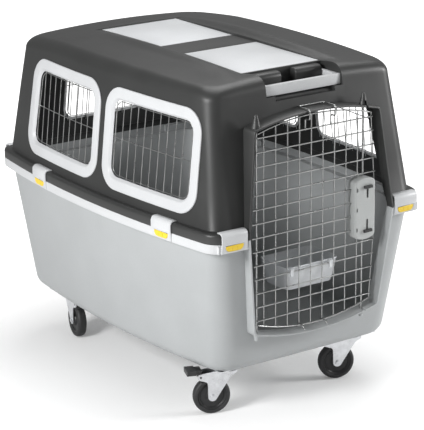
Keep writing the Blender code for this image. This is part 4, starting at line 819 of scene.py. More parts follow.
@dataclass(frozen=True)
class Portal:
    """The flared door surround that stands out of the front wall."""

    body: Body
    rim_half: float = 0.227
    sill_half: float = 0.196
    hood_half: float = 0.194
    wall: float = 0.004
    taper: float = 0.006
    sill_height: float = 0.105
    sill_dip: float = 0.028
    hood_height: float = 0.263
    hood_rise: float = 0.024
    rim_y: float = -0.5219
    lean: float = 0.020
    door_plane: float = -0.487

    @property
    def sill_z(self) -> float:
        """Height of the sill's ends."""
        return self.body.tray_z + self.sill_height

    @property
    def hood_z(self) -> float:
        """Height of the hood's ends."""
        return self.body.seam_z + self.hood_height

    def front(self, z: float) -> float:
        """Y of the portal's front edge at a height.

        Args:
            z: The height.

        Returns:
            The edge's Y.
        """
        if z >= self.body.seam_z:
            return self.rim_y + self.lean * (z - self.body.seam_z) / self.hood_height
        fall = self.body.seam_z - self.sill_z
        return self.rim_y + self.lean * (self.body.seam_z - z) / fall

    def outline(self, inset: float, top: bool, steps: int = 24) -> list[Flat]:
        """Outline of the upper or lower half, in X and Z.

        Args:
            inset: How far it is drawn in.
            top: Whether it is the hood's half.
            steps: Chords along the arch.

        Returns:
            The outline's points, open along the seam.
        """
        rim = self.rim_half - inset
        if top:
            end, level, bulge = self.hood_half - inset, self.hood_z - inset, self.hood_rise
            sign, rim_z = 1.0, self.body.seam_z + self.body.gap
        else:
            end, level, bulge = self.sill_half - inset, self.sill_z + inset, self.sill_dip
            sign, rim_z = -1.0, self.body.seam_z
        corner = 0.012
        points = [(rim, rim_z)]
        low = (end + 0.002, level - sign * corner)
        inner_x = end - corner * 0.6
        inner_z = level + sign * bulge * (1 - (inner_x / end) ** 2)
        knee = (end + 0.0005, level + sign * 0.0015)
        for k in range(7):
            t = k / 6
            a = (low[0] + (knee[0] - low[0]) * t, low[1] + (knee[1] - low[1]) * t)
            b = (knee[0] + (inner_x - knee[0]) * t, knee[1] + (inner_z - knee[1]) * t)
            points.append((a[0] + (b[0] - a[0]) * t, a[1] + (b[1] - a[1]) * t))
        for k in range(1, steps):
            x = inner_x * (1 - 2 * k / steps)
            points.append((x, level + sign * bulge * (1 - (x / end) ** 2)))
        return points + [(-x, z) for x, z in points[7::-1]]

    def block(self, top: bool) -> bpy.types.Mesh:
        """Solid block from the front edge into the wall.

        Args:
            top: Whether it is the hood's half.

        Returns:
            The block's mesh.
        """
        outline = self.outline(0.0, top)
        half_length = self.body.cover_half_length if top else self.body.tray_half_length
        lip = 0.0016
        inner = self.outline(lip, top)
        rings = [[(x, self.front(z), z) for x, z in inner],
                 [(x, self.front(z) + lip * 0.3, z) for x, z in self.outline(lip * 0.3, top)],
                 [(x, self.front(z) + lip, z) for x, z in outline],
                 [(x, -half_length(z) + 0.9 * self.wall, z) for x, z in outline]]
        return loft("portal", rings)

    def doorway(self, top: bool) -> bpy.types.Mesh:
        """Cutter of the doorway, a little narrower inside.

        Args:
            top: Whether it is the hood's half.

        Returns:
            The cutter's mesh.
        """
        past = 0.01
        near = self.outline(self.wall, top)
        far = self.outline(self.wall + self.taper, top)
        level = self.body.seam_z + (-past if top else past)
        for ring in (near, far):
            ring[0] = (ring[0][0], level)
            ring[-1] = (ring[-1][0], level)
        rings = [[(x, self.rim_y - past, z) for x, z in near],
                 [(x, self.door_plane - past, z) for x, z in near],
                 [(x, -self.body.wall_half_length + 0.07, z) for x, z in far]]
        return loft("doorway", rings)

    def hood_level(self, x: float) -> float:
        """Top of the hood over x."""
        return self.hood_z + self.hood_rise * (1 - (x / self.hood_half) ** 2)

    def sill_level(self, x: float) -> float:
        """Top of the sill at x, under the door."""
        share = 1 - (x / (self.sill_half - self.wall)) ** 2
        return self.sill_z + self.wall - self.sill_dip * share


@dataclass(frozen=True)
class ClipSeat:
    """Where one rim clip sits: its name, its point on the rim and its outward angle."""

    name: str
    point: Vector
    angle: float

    @property
    def place(self) -> Matrix:
        """Matrix whose X points outwards, Y along the rim and Z up."""
        return Matrix.Translation(self.point) @ Matrix.Rotation(self.angle, 4, "Z")


@dataclass(frozen=True)
class RimClips:
    """The clips that hold cover and tray together, with their press buttons."""

    body: Body
    width: float = 0.074
    skin: float = 0.0042
    reach: float = 0.019
    inset: float = 0.006
    pivot_in: float = 0.003
    pivot_down: float = 0.0205
    front_x: float = 0.267
    side_front_y: float = -0.325
    side_rear_y: float = 0.246
    button_down: float = 0.0105
    button_length: float = 0.052
    button_height: float = 0.015
    button_sunk: float = 0.0016

    def seats(self) -> list[ClipSeat]:
        """Work out where the clips sit.

        Returns:
            One seat per clip.
        """
        body, found = self.body, []
        for side, sign in (("left", -1.0), ("right", 1.0)):
            for end, y in (("front", self.side_front_y), ("rear", self.side_rear_y)):
                x = body.rim_half_width - body.side_bow * (y / body.rim_half_length) ** 2
                lean = math.atan(2 * body.side_bow * y / body.rim_half_length ** 2)
                angle = lean if sign > 0 else math.pi - lean
                found.append(ClipSeat(f"{side}_{end}", Vector((sign * x, y, body.seam_z)),
                                      angle))
        for end, sign_y in (("front", -1.0), ("rear", 1.0)):
            for side, sign in (("left", -1.0), ("right", 1.0)):
                y = body.rim_half_length - body.end_bow * (self.front_x
                                                           / body.rim_half_width) ** 2
                lean = sign * math.atan(2 * body.end_bow * self.front_x
                                        / body.rim_half_width ** 2)
                point = Vector((sign * self.front_x, sign_y * y, body.seam_z))
                found.append(ClipSeat(f"{end}_{side}", point,
                                      sign_y * (math.pi / 2 - lean)))
        return found

    def blocks(self) -> bpy.types.Mesh:
        """Solid backing of the clips inside the tray's band."""
        bm, half = bmesh.new(), self.width / 2
        wall = self.body.wall
        for seat in self.seats():
            put_box(bm, (-0.012 - wall * 0.5, -half - 0.007, -self.body.rim_band + wall * 0.5),
                    (-wall * 0.5, half + 0.007, -0.002), seat.place)
        return mesh_from(bm, "blocks")

    def notches(self) -> bpy.types.Mesh:
        """Cutter of the clips' pockets in the tray's band."""
        bm, half = bmesh.new(), self.width / 2 + 0.0004
        for seat in self.seats():
            put_box(bm, (-self.inset, -half, -self.body.rim_band - 0.006),
                    (0.01, half, 0.006), seat.place)
        return mesh_from(bm, "notches")

    def outline(self) -> list[Flat]:
        """Section of a clip, outwards and up from its seat's point.

        Returns:
            The section's points in order.
        """
        body = self.body
        inner = -self.inset + body.gap
        barrel = -inner - self.pivot_in
        bend = body.flange_height - body.flange_round
        points = arc((-self.pivot_in, -self.pivot_down), barrel, 180, 275, 8)
        points += [(self.skin - 0.0026, -self.pivot_down - 0.0014),
                   (self.skin - 0.0012, -0.002), (self.skin, 0.004)]
        points += arc((-body.flange_round, bend), body.flange_round + self.skin, 0, 90, 8)
        points += [(-self.reach + 0.002, body.flange_height + self.skin - 0.0006),
                   (-self.reach, body.flange_height + self.skin - 0.002),
                   (-self.reach, body.flange_height + 2 * body.gap)]
        points += arc((-body.flange_round, bend), body.flange_round + 2 * body.gap, 90, 0, 8)
        return points + [(2 * body.gap, -0.0008), (inner, -0.0008)]

    def build(self) -> None:
        """Build and dress every clip and its button."""
        for seat in self.seats():
            upright = seat.place @ Matrix.Rotation(math.pi / 2, 4, "X")
            name = f"rim_clip_{seat.name}"
            clip = solid(f"clip_{seat.name}", prism(name, self.outline(), self.width / 2,
                                                    upright))
            combine(clip, [self._recess(seat)], Join.CUT)
            round_edges(clip, 0.0009, 2, 50.0)
            smooth(clip, 40.0)
            dress(clip, PALE_FINISH, Slot.PALE, f"clip_{seat.name}", name)
            self._button(seat)

    def _facing(self, seat: ClipSeat) -> Matrix:
        """Matrix of the button's face: X along the rim, Y up and Z outwards."""
        return (seat.place @ Matrix.Rotation(math.pi / 2, 4, "Y")
                @ Matrix.Rotation(math.pi / 2, 4, "Z")
                @ Matrix.Translation((0.0, -self.button_down, 0.0)))

    def _outline(self, grow: float, steps: int = 10) -> list[Flat]:
        """Outline of a button: flat top and round lower corners.

        Args:
            grow: How far it is grown outwards.
            steps: Chords round a corner.

        Returns:
            The outline's points in order.
        """
        length, height = self.button_length + 2 * grow, self.button_height + 2 * grow
        radius = 0.85 * height
        reach, level = length / 2 - radius, radius - height / 2
        outline = [(-length / 2 + 0.001, height / 2), (-length / 2, height / 2 - 0.001)]
        outline += arc((-reach, level), radius, 180, 270, steps)
        outline += arc((reach, level), radius, 270, 360, steps)
        return outline + [(length / 2, height / 2 - 0.001), (length / 2 - 0.001, height / 2)]

    def _recess(self, seat: ClipSeat) -> bpy.types.Mesh:
        """Cutter of the button's pocket in its clip."""
        middle = self.skin - self.button_sunk - 0.005 + 0.0045
        return prism("recess", self._outline(0.0003), 0.0045,
                     self._facing(seat) @ Matrix.Translation((0, 0, middle)))

    def _button(self, seat: ClipSeat) -> None:
        """Build and dress one press button with its two finger grooves."""
        name, face = f"clip_button_{seat.name}", self._facing(seat)
        top = self.skin - self.button_sunk + 0.0006
        rings = []
        for draw, level in ((0.0, top - 0.0035), (0.0, top - 0.0012), (0.0004, top - 0.0004),
                            (0.0011, top - 0.0001), (0.0022, top)):
            rings.append([tuple(face @ Vector((x, y, level)))
                          for x, y in self._outline(-draw)])
        button = solid(f"button_{seat.name}", loft(name, rings))
        grooves = bmesh.new()
        for x in (-0.0075, 0.0075):
            put_box(grooves, (x - 0.0005, -0.005, top - 0.0006), (x + 0.0005, 0.005, 0.01), face)
        combine(button, [mesh_from(grooves, "grooves")], Join.CUT)
        smooth(button, 45.0)
        dress(button, YELLOW_FINISH, Slot.YELLOW, f"button_{seat.name}", name)


@dataclass(frozen=True)
class Castor:
    """One swivel castor: plate, raceway, bent fork, axle and wheel."""

    name: str
    x: float
    y: float
    turn: float
    braked: bool
    tray_z: float = 0.128
    wheel_radius: float = 0.048
    wheel_width: float = 0.026
    trail: float = 0.042
    brake_behind: float = 0.030
    sheet: float = 0.0025
    race_height: float = 0.009
    race_radius: float = 0.026
    bolts: Flat = (0.038, 0.028)
    gap: float = 0.0003

    @property
    def place(self) -> Matrix:
        """Matrix of the plate's top."""
        return Matrix.Translation((self.x, self.y, self.tray_z))

    @property
    def swivel(self) -> Matrix:
        """Matrix of the turned fork."""
        return self.place @ Matrix.Rotation(math.radians(self.turn), 4, "Z")

    @property
    def across(self) -> Matrix:
        """Matrix of the wheel, with Z along its axle."""
        return (self.swivel @ Matrix.Translation((-self.trail, 0, self.axle_z))
                @ Matrix.Rotation(math.pi / 2, 4, "X"))

    @property
    def axle_z(self) -> float:
        """Height of the axle from the plate's top."""
        return self.wheel_radius - self.tray_z

    @property
    def fork_top(self) -> float:
        """Height of the fork's crown from the plate's top."""
        return -2 * self.gap - self.sheet - self.race_height

    def build(self) -> None:
        """Build and dress the castor's pieces."""
        self._plate()
        self._fork()
        self._wheel()
        self._axle()
        if self.braked:
            dress_node(f"brake_pedal_{self.name}", BLACK_FINISH)

    def _plate(self) -> None:
        """Round-cornered plate with its rivets and raceway."""
        name = f"castor_plate_{self.name}"
        low, top = -self.gap - self.sheet, -self.gap
        outline = []
        for start, sx, sy in ((0, 1, 1), (90, -1, 1), (180, -1, -1), (270, 1, -1)):
            outline += arc((sx * 0.044, sy * 0.034), 0.006, start, start + 90, 6)
        plate = solid(f"plate_{self.name}", prism(name, outline, self.sheet / 2,
                      self.place @ Matrix.Translation((0, 0, (low + top) / 2))))
        profile = [(0.0, low + 0.001), (self.race_radius - 0.003, low + 0.001),
                   (self.race_radius - 0.001, low - 0.0004),
                   (self.race_radius, low - 0.002),
                   (self.race_radius, low - 0.0065), (self.race_radius - 0.0015, low - 0.0085),
                   (self.race_radius - 0.003, low - self.race_height),
                   (0.005, low - self.race_height), (0.005, self.fork_top - 0.0028),
                   (0.008, self.fork_top - 0.0028), (0.008, self.fork_top - 0.0078),
                   (0.0, self.fork_top - 0.0078)]
        combine(plate, [turned("race", profile, 40, self.place)], Join.ADD)
        bm = bmesh.new()
        for sx in (-1, 1):
            for sy in (-1, 1):
                spot = self.place @ Vector((sx * self.bolts[0], sy * self.bolts[1], 0.0))
                put_rod(bm, spot + Vector((0, 0, low + 0.0005)),
                        spot + Vector((0, 0, low - 0.0018)), 0.0050, 16, 0.0034)
                put_rod(bm, spot + Vector((0, 0, low + 0.0005)),
                        spot + Vector((0, 0, 0.0024)), 0.003, 16)
                put_rod(bm, spot + Vector((0, 0, 0.0023)),
                        spot + Vector((0, 0, 0.0037)), 0.0055, 16, 0.0050)
        combine(plate, [mesh_from(bm, "rivets")], Join.ADD, True)
        smooth(plate, 35.0)
        dress(plate, ZINC_FINISH, Slot.ZINC, "crate", name)

    def _fork(self) -> None:
        """Bent sheet fork, its legs narrowing to the axle's eyes."""
        name = f"castor_fork_{self.name}"
        top, low = self.fork_top, self.fork_top - self.sheet
        inner = self.wheel_width / 2 + 0.0015
        outline = [(0.022, top - 0.0002), (0.022, low - 0.003), (0.006, low - 0.012)]
        outline += arc((-self.trail, self.axle_z), 0.0115, -30, -180, 18)
        outline += arc((-self.trail - 0.0205, self.axle_z + 0.034), 0.008, 0, 70, 6)
        outline += arc((-self.trail - self.brake_behind, low - 0.011), 0.0085, 260, 100, 12)
        outline.append((-self.trail + 0.004, top - 0.0002))
        meshes = []
        for side in (-1, 1):
            meshes.append(prism("leg", outline, self.sheet / 2,
                                self.swivel @ Matrix.Translation(
                                    (0, side * (inner + self.sheet / 2), 0))
                                @ Matrix.Rotation(math.pi / 2, 4, "X")))
        bm = bmesh.new()
        reach = inner + self.sheet * 0.95
        put_box(bm, (-self.trail + 0.006, -reach, low), (0.0218, reach, top), self.swivel)
        fork = solid(f"fork_{self.name}", mesh_from(bm, name))
        disc = bmesh.new()
        put_rod(disc, self.swivel @ Vector((0, 0, low)), self.swivel @ Vector((0, 0, top)),
                self.race_radius - 0.001, 40)
        combine(fork, [*meshes, mesh_from(disc, "disc")], Join.ADD)
        holes = bmesh.new()
        put_rod(holes, self.swivel @ Vector((0, 0, low - 0.01)),
                self.swivel @ Vector((0, 0, top + 0.01)), 0.0054, 20)
        if self.braked:
            ear = self.swivel @ Matrix.Translation(
                (-self.trail - self.brake_behind, 0, low - 0.011))
            put_rod(holes, ear @ Vector((0, -0.03, 0)), ear @ Vector((0, 0.03, 0)), 0.0029, 16)
        combine(fork, [mesh_from(holes, "hole")], Join.CUT)
        round_edges(fork, 0.0006, 2, 60.0)
        smooth(fork, 40.0)
        dress(fork, ZINC_FINISH, Slot.ZINC, f"fork_{self.name}", name)

    def _wheel(self) -> None:
        """Solid tyre on a ribbed hub."""
        name, inner = f"castor_wheel_{self.name}", self.wheel_width / 2
        r = self.wheel_radius
        half = [(r - 0.0125, inner - 0.0035), (r - 0.0105, inner - 0.0010),
                (r - 0.0060, inner - 0.0006), (r - 0.0025, inner - 0.0022),
                (r - 0.0006, inner - 0.0055), (r, inner - 0.0090)]
        tyre_profile = half + [(a, -b) for a, b in reversed(half)]
        tyre = solid(f"wheel_{self.name}", turned(name, tyre_profile, 64, self.across, True))
        smooth(tyre, 40.0)
        dress(tyre, TYRE_FINISH, Slot.TYRE, f"wheel_{self.name}", name)
        hub_half = [(0.0045, inner - 0.0002), (0.0145, inner - 0.0002),
                    (0.0157, inner - 0.0010), (0.0170, inner - 0.0045),
                    (0.0300, inner - 0.0062), (0.0322, inner - 0.0032),
                    (r - 0.0125, inner - 0.0022)]
        hub_profile = hub_half + [(a, -b) for a, b in reversed(hub_half)]
        hub = solid(f"hub_{self.name}", turned("hub", hub_profile, 48, self.across, True))
        smooth(hub, 40.0)
        dress(hub, BLACK_FINISH, Slot.BLACK, f"wheel_{self.name}")

    def _axle(self) -> None:
        """Axle bolt with a six-sided head and a round washer."""
        name = f"castor_axle_{self.name}"
        out = self.wheel_width / 2 + 0.0015 + self.sheet + self.gap
        shaft = [(0.0, out + 0.0012), (0.0064, out + 0.0012), (0.0066, out + 0.0008),
                 (0.0066, out), (0.0038, out), (0.0038, -out), (0.0066, -out),
                 (0.0066, -out - 0.0008), (0.0064, -out - 0.0012), (0.0, -out - 0.0012)]
        axle = solid(f"axle_{self.name}", turned(name, shaft, 32, self.across))
        bm = bmesh.new()
        for sign in (-1, 1):
            put_rod(bm, self.across @ Vector((0, 0, sign * (out + 0.0008))),
                    self.across @ Vector((0, 0, sign * (out + 0.0036))), 0.0054, 6, 0.0050)
        combine(axle, [mesh_from(bm, "heads")], Join.ADD)
        smooth(axle, 30.0)
        dress(axle, ZINC_FINISH, Slot.ZINC, f"fork_{self.name}", name)


@dataclass(frozen=True)
class LowerTray:
    """The grey moulded tray with its rim band and the lower half of the portal."""

    body: Body
    portal: Portal
    clips: RimClips
    hinge_x: float = -0.178
    lock_x: float = 0.153
    rod_y: float = -0.4842

    def _wall(self, z: float, inset: float = 0.0) -> list[Point]:
        """Ring of the wall at a height.

        Args:
            z: The height.
            inset: How far it is drawn in.

        Returns:
            The ring's points in order.
        """
        body = self.body
        share = body.tray_share(z)
        width = body.base_half_width + share * (body.wall_half_width - body.base_half_width)
        turn = body.base_corner + share * (body.rim_corner - body.base_corner)
        return body.ring(width - inset, body.tray_half_length(z) - inset,
                         turn - inset * 0.9, z)

    def _skin(self, inset: float) -> list[list[Point]]:
        """Rings from the underside to the band.

        Args:
            inset: How far the skin is drawn in.

        Returns:
            The rings, lowest first.
        """
        body, rings = self.body, []
        radius = body.base_round - inset
        for degrees in range(0, 90, 10):
            angle = math.radians(degrees)
            rings.append(self._wall(body.tray_z + inset + radius * (1 - math.cos(angle)),
                                    inset + radius * (1 - math.sin(angle))))
        steps = 5
        low = body.tray_z + body.base_round
        for k in range(steps + 1):
            rings.append(self._wall(low + (body.band_z + inset - low) * k / steps, inset))
        return rings

    def rings(self) -> list[list[Point]]:
        """Outer skin from the underside to the seam, then the inner skin down again.

        Returns:
            The rings of both skins.
        """
        body = self.body
        rings = self._skin(0.0)
        edge = 0.0025
        for inset, z in ((edge, body.band_z), (edge * 0.3, body.band_z + edge * 0.3),
                         (0.0, body.band_z + edge), (0.0, body.seam_z - 0.0012),
                         (0.0005, body.seam_z)):
            rings.append(body.ring(body.rim_half_width - inset,
                                   body.rim_half_length - inset, body.rim_corner - inset, z))
        for z in (body.seam_z, body.band_z + body.wall):
            rings.append(body.ring(body.rim_half_width - body.wall,
                                   body.rim_half_length - body.wall,
                                   body.rim_corner - body.wall, z))
        return rings + self._skin(body.wall)[::-1]

    def build(self) -> None:
        """Build and dress the tray."""
        tray = solid("tray_shell", loft("tray", self.rings()))
        bosses = bmesh.new()
        for x in (self.hinge_x, self.lock_x):
            top = self.portal.sill_level(x) - 0.002
            put_rod(bosses, (x, self.rod_y, top - 0.018), (x, self.rod_y, top), 0.005, 24,
                    0.008)
        combine(tray, [self.portal.block(False), mesh_from(bosses, "bosses"),
                       self.clips.blocks()], Join.ADD)
        holes = bmesh.new()
        low = self.portal.sill_level(self.hinge_x) - 0.013
        put_rod(holes, (self.hinge_x, self.rod_y, low), (self.hinge_x, self.rod_y, low + 0.03),
                0.0029, 20)
        keep = self.portal.sill_level(self.lock_x) - 0.012
        put_box(holes, (self.lock_x - 0.0033, self.portal.rim_y - 0.01, keep),
                (self.lock_x + 0.0033, self.rod_y + 0.0033, keep + 0.032))
        combine(tray, [self.portal.doorway(False), self.clips.notches(),
                       mesh_from(holes, "holes")], Join.CUT)
        smooth(tray, 34.0)
        dress(tray, TRAY_FINISH, Slot.TRAY, "crate", "lower_tray")
        self._paint_band(tray)

    def _paint_band(self, tray: bpy.types.Object) -> None:
        """Give the band and the portal's lip their paler, smoother moulding.

        Args:
            tray: The finished tray.
        """
        tray.data.materials.append(BAND_FINISH.material())
        body = self.body
        for face in tray.data.polygons:
            x, y, z = face.center
            if z > body.band_z - 0.0005 and face.normal.z > -0.9:
                outward = (x * face.normal.x / body.rim_half_width ** 2
                           + y * face.normal.y / body.rim_half_length ** 2)
                if outward > 0.05 or face.normal.z > 0.7:
                    face.material_index = 1


@dataclass(frozen=True)
class SideWindow:
    """One barred window in a side or the rear wall: pale frame and wire grille."""

    body: Body
    side: str
    end: str
    middle_y: float
    slant: float
    length: float = 0.372
    height: float = 0.262
    corner: float = 0.062
    bezel: float = 0.033
    middle: float = 0.179
    proud: float = 0.0045
    seat: float = 0.008
    pitch: float = 0.0295
    wire: float = 0.0012

    @property
    def name(self) -> str:
        """Name of the window."""
        return f"{self.side}_{self.end}" if self.end else self.side

    @property
    def sign(self) -> float:
        """Side of the crate in X."""
        return -1.0 if self.side == "left" else 1.0

    @property
    def middle_z(self) -> float:
        """Height of the window's middle."""
        return self.body.seam_z + self.middle

    def outline(self, inset: float, arc_steps: int = 12, side_steps: int = 12) -> list[Flat]:
        """Rounded outline in Y and Z.

        Args:
            inset: How far it is drawn in.
            arc_steps: Chords round a corner.
            side_steps: Chords along a side.

        Returns:
            The outline's points in order.
        """
        half_length, half_height = self.length / 2 - inset, self.height / 2 - inset
        corner = max(self.corner - inset, 0.01)
        points = []
        for start, sy, sz in ((0, 1, 1), (90, -1, 1), (180, -1, -1), (270, 1, -1)):
            centre = (sy * (half_length - corner), sz * (half_height - corner))
            points += arc(centre, corner, start, start + 90, arc_steps)
            if sz == sy:
                points += [(centre[0] - 2 * centre[0] * k / side_steps, sz * half_height)
                           for k in range(1, side_steps)]
        outline = []
        for y, z in points:
            lean = self.slant * (z / self.height) * (0.5 + y / (2 * half_length))
            outline.append((self.middle_y + y - lean, self.middle_z + z))
        return outline

    def on_wall(self, outline: Sequence[Flat], out: float) -> list[Point]:
        """Lay an outline on the wall.

        Args:
            outline: Points in Y and Z.
            out: Distance outwards.

        Returns:
            The points on the wall.
        """
        if self.side == "rear":
            return [tuple(self.body.rear_face(x, z, out)) for x, z in outline]
        ring = [self.body.cover_face(y, z, out) for y, z in outline]
        return [(self.sign * p.x, p.y, p.z) for p in ring]

    def hole(self) -> bpy.types.Mesh:
        """Cutter of the window's hole in the cover."""
        outline = self.outline(self.bezel - self.seat)
        return loft("hole", [self.on_wall(outline, out) for out in (-0.015, 0.015)])

    def build(self) -> None:
        """Build and dress the frame and the grille."""
        name = self.name
        lining = self.bezel - self.seat + 0.0006
        rows = [(0.0003, 0.0003), (0.0, 0.0016)]
        for k in range(6):
            angle = math.radians(90 * k / 5)
            rows.append((0.0029 * (1 - math.cos(angle)),
                         self.proud - 0.0029 * (1 - math.sin(angle))))
        rows += [(self.bezel - 0.0075, self.proud), (self.bezel - 0.0062, self.proud - 0.0003),
                 (self.bezel - 0.0052, self.proud - 0.0010),
                 (self.bezel - 0.0008, -0.0022), (self.bezel, -0.0030)]
        rows += [(self.bezel, -self.body.wall), (lining, -self.body.wall), (lining, 0.0003)]
        rings = [self.on_wall(self.outline(inset), out) for inset, out in rows]
        node = f"window_frame_{name}"
        rim = solid(f"frame_{name}", loft(node, rings, closed=True))
        smooth(rim, 40.0)
        dress(rim, PALE_FINISH, Slot.PALE, "crate", node)
        self._grille(name)

    def _grille(self, name: str) -> None:
        """Upright wires welded to a border wire and a middle wire."""
        column_out = -self.body.wall - 0.0006 - self.wire
        border_out = column_out - 2 * self.wire + 0.0014
        hole = self.outline(self.bezel - self.seat)
        runs: list[Run] = [(self.on_wall(self.outline(self.bezel + 0.004, 8, 10), border_out),
                            self.wire, True)]
        low, high = min(y for y, _ in hole), max(y for y, _ in hole)
        corner = self.corner - self.bezel + self.seat
        columns = round((high - low) / self.pitch)
        for k in range(columns):
            y = low + (high - low) * (k + 0.5) / columns
            near = min(y - low, high - y)
            drawn = 0.0
            if near < corner:
                drawn = 0.7 * (corner - math.sqrt(corner ** 2 - (corner - near) ** 2))
            reach = self.height / 2 - self.bezel + self.seat + 0.005 - drawn
            ends = [(y, self.middle_z - reach), (y, self.middle_z + reach)]
            runs.append((self.on_wall(ends, column_out), self.wire, False))
        ys = [low + 0.002 + (high - low - 0.004) * k / 16 for k in range(17)]
        runs.append((self.on_wall([(y, self.middle_z) for y in ys], border_out), self.wire,
                     False))
        node = f"window_grille_{name}"
        grille = wires(f"grille_{name}", runs)
        dress(grille, WIRE_FINISH, Slot.WIRE, "crate", node)


@dataclass(frozen=True)
class Roof:
    """Sizes of the lids, the lockers under them and the handle's well."""

    body: Body
    lid_width: float = 0.242
    lid_length: float = 0.266
    lid_thick: float = 0.0035
    lid_top: float = 0.364
    bridge_front: float = -0.080
    bridge_rear: float = 0.028
    rebate: float = 0.010
    depth: float = 0.024
    block: float = 0.037
    channel_edge: float = 0.156
    channel_rise: float = 0.006
    channel_fall: float = 0.0055
    channel_reach: float = 0.32
    channel_run: float = 0.055
    handle_width: float = 0.232
    handle_bar: float = 0.011
    handle_face: float = 0.026
    handle_front: float = -0.438
    handle_foot: float = 0.322
    pivot_y: float = -0.368
    barrel_radius: float = 0.013
    barrel_top: float = 0.362
    pivot_drop: float = 0.009
    eye: float = 0.009
    grip_room: float = 0.012

    @property
    def lid_z(self) -> float:
        """Top of the lids."""
        return self.body.seam_z + self.lid_top

    @property
    def handle_z(self) -> float:
        """Underside of the handle."""
        return self.body.seam_z + self.handle_foot

    @property
    def pivot_z(self) -> float:
        """Height of the handle's pivot."""
        return self.handle_z + self.handle_face - self.pivot_drop

    def span(self, front: bool) -> Flat:
        """Y of a lid's hinge edge and free edge."""
        if front:
            return self.bridge_front, self.bridge_front - self.lid_length
        return self.bridge_rear, self.bridge_rear + self.lid_length

    def moulding(self, core: bpy.types.Mesh) -> bpy.types.Mesh:
        """Thick moulding under the roof, cut to the cover's inside.

        Args:
            core: Closed solid just inside the cover's skin.

        Returns:
            The moulding's mesh.
        """
        side = self.lid_width / 2 + self.block
        floor = self.lid_z - self.lid_thick - self.depth - self.body.wall
        above = self.body.roof_z + 0.02
        block = solid("moulding", box_mesh(
            "moulding", (-side, self.bridge_front - self.lid_length - self.block, floor),
            (side, self.bridge_rear + self.lid_length + self.block, above)))
        well = box_mesh("well", (-side, -self.body.wall_half_length,
                                 self.handle_z - self.grip_room - self.body.wall),
                        (side, self.bridge_front - self.lid_length, above))
        combine(block, [well], Join.ADD)
        combine(block, [core], Join.KEEP)
        mesh = block.data.copy()
        bpy.data.objects.remove(block, do_unlink=True)
        return mesh

    def channel(self) -> bpy.types.Mesh:
        """Cutter of the shallow channel between the rails, a little above the lids."""
        body, rings, steps = self.body, [], 28
        front, rear = self.span(True)[1], self.span(False)[1] + 0.0006
        half, slack = self.lid_width / 2, 0.0004
        for k in range(steps + 1):
            y = front - self.channel_run + (rear - front + self.channel_run) * k / steps
            ahead = min(1.0, max(0.0, (front - y) / self.channel_run))
            away = (y - (front + rear) / 2) / self.channel_reach
            low = self.lid_z + self.channel_rise - self.channel_fall * away ** 2
            ring = []
            for sign, order in ((-1, range(8, -1, -1)), (1, range(9))):
                for j in order:
                    t = j / 8
                    blend = max(t * t * (3 - 2 * t), ahead * ahead * (3 - 2 * ahead))
                    x = sign * (half + (self.channel_edge - half) * t)
                    ring.append((x, y, low + (body.roof_level(x, y) + slack - low) * blend))
            above = body.roof_z + 0.02
            ring += [(self.channel_edge, y, above), (-self.channel_edge, y, above)]
            rings.append(ring)
        return loft("channel", rings)

    def pockets(self) -> list[bpy.types.Mesh]:
        """Cutters of the rebates, the lockers and the handle's well.

        Returns:
            One mesh per cut.
        """
        gap, above = 0.0006, self.body.roof_z + 0.02
        wide, seat = self.lid_width / 2 + gap, self.lid_z - self.lid_thick - 0.0003
        boxes = [((-wide, self.span(True)[1] - gap, self.lid_z),
                  (wide, self.span(False)[1] + gap, above))]
        for front in (True, False):
            hinge, free = self.span(front)
            toward = -1.0 if front else 1.0
            for start, end, low, half in (
                    (hinge - toward * gap, free + toward * gap, seat, wide),
                    (hinge - toward * gap, hinge + toward * 0.012, seat - 0.008, wide),
                    (hinge + toward * 0.014, free - toward * self.rebate,
                     seat - self.depth, self.lid_width / 2 - self.rebate)):
                boxes.append(((-half, min(start, end), low), (half, max(start, end), above)))
        side = self.handle_width / 2 + 0.0015
        boxes.append(((-side, -self.body.wall_half_length - 0.02, self.handle_z - 0.0012),
                      (side, self.pivot_y + self.eye + 0.003, above)))
        grip = side - 0.026
        boxes.append(((-grip, -self.body.wall_half_length - 0.02,
                       self.handle_z - self.grip_room),
                      (grip, self.handle_front + self.handle_bar + 0.016, above)))
        return [box_mesh("pocket", low, high) for low, high in boxes]

    def barrels(self) -> list[bpy.types.Mesh]:
        """Two round-topped bearing blocks in the handle's well."""
        made = []
        outer = self.handle_width / 2 - self.handle_bar - 0.0006
        for sign in (-1, 1):
            outline = [(self.barrel_radius + 0.002, -0.036)]
            outline += arc((0.0, 0.0), self.barrel_radius, 90, 180, 8)
            outline.insert(1, (self.barrel_radius + 0.002, self.barrel_radius))
            outline += [(-self.barrel_radius, -0.036)]
            xs = sorted((sign * 0.022, sign * outer))
            nose = self.body.seam_z + self.barrel_top - self.barrel_radius
            place = sideways(((xs[0] + xs[1]) / 2, self.pivot_y, nose))
            block = solid("barrel", prism("barrel", outline, (xs[1] - xs[0]) / 2, place))
            round_edges(block, 0.004, 4, 60.0)
            made.append(block.data.copy())
            bpy.data.objects.remove(block, do_unlink=True)
        return made

    def build(self) -> None:
        """Build and dress the lids and the carry handle."""
        for node, front in (("front_roof_lid", True), ("rear_roof_lid", False)):
            self._lid(node, front)
        self._handle()

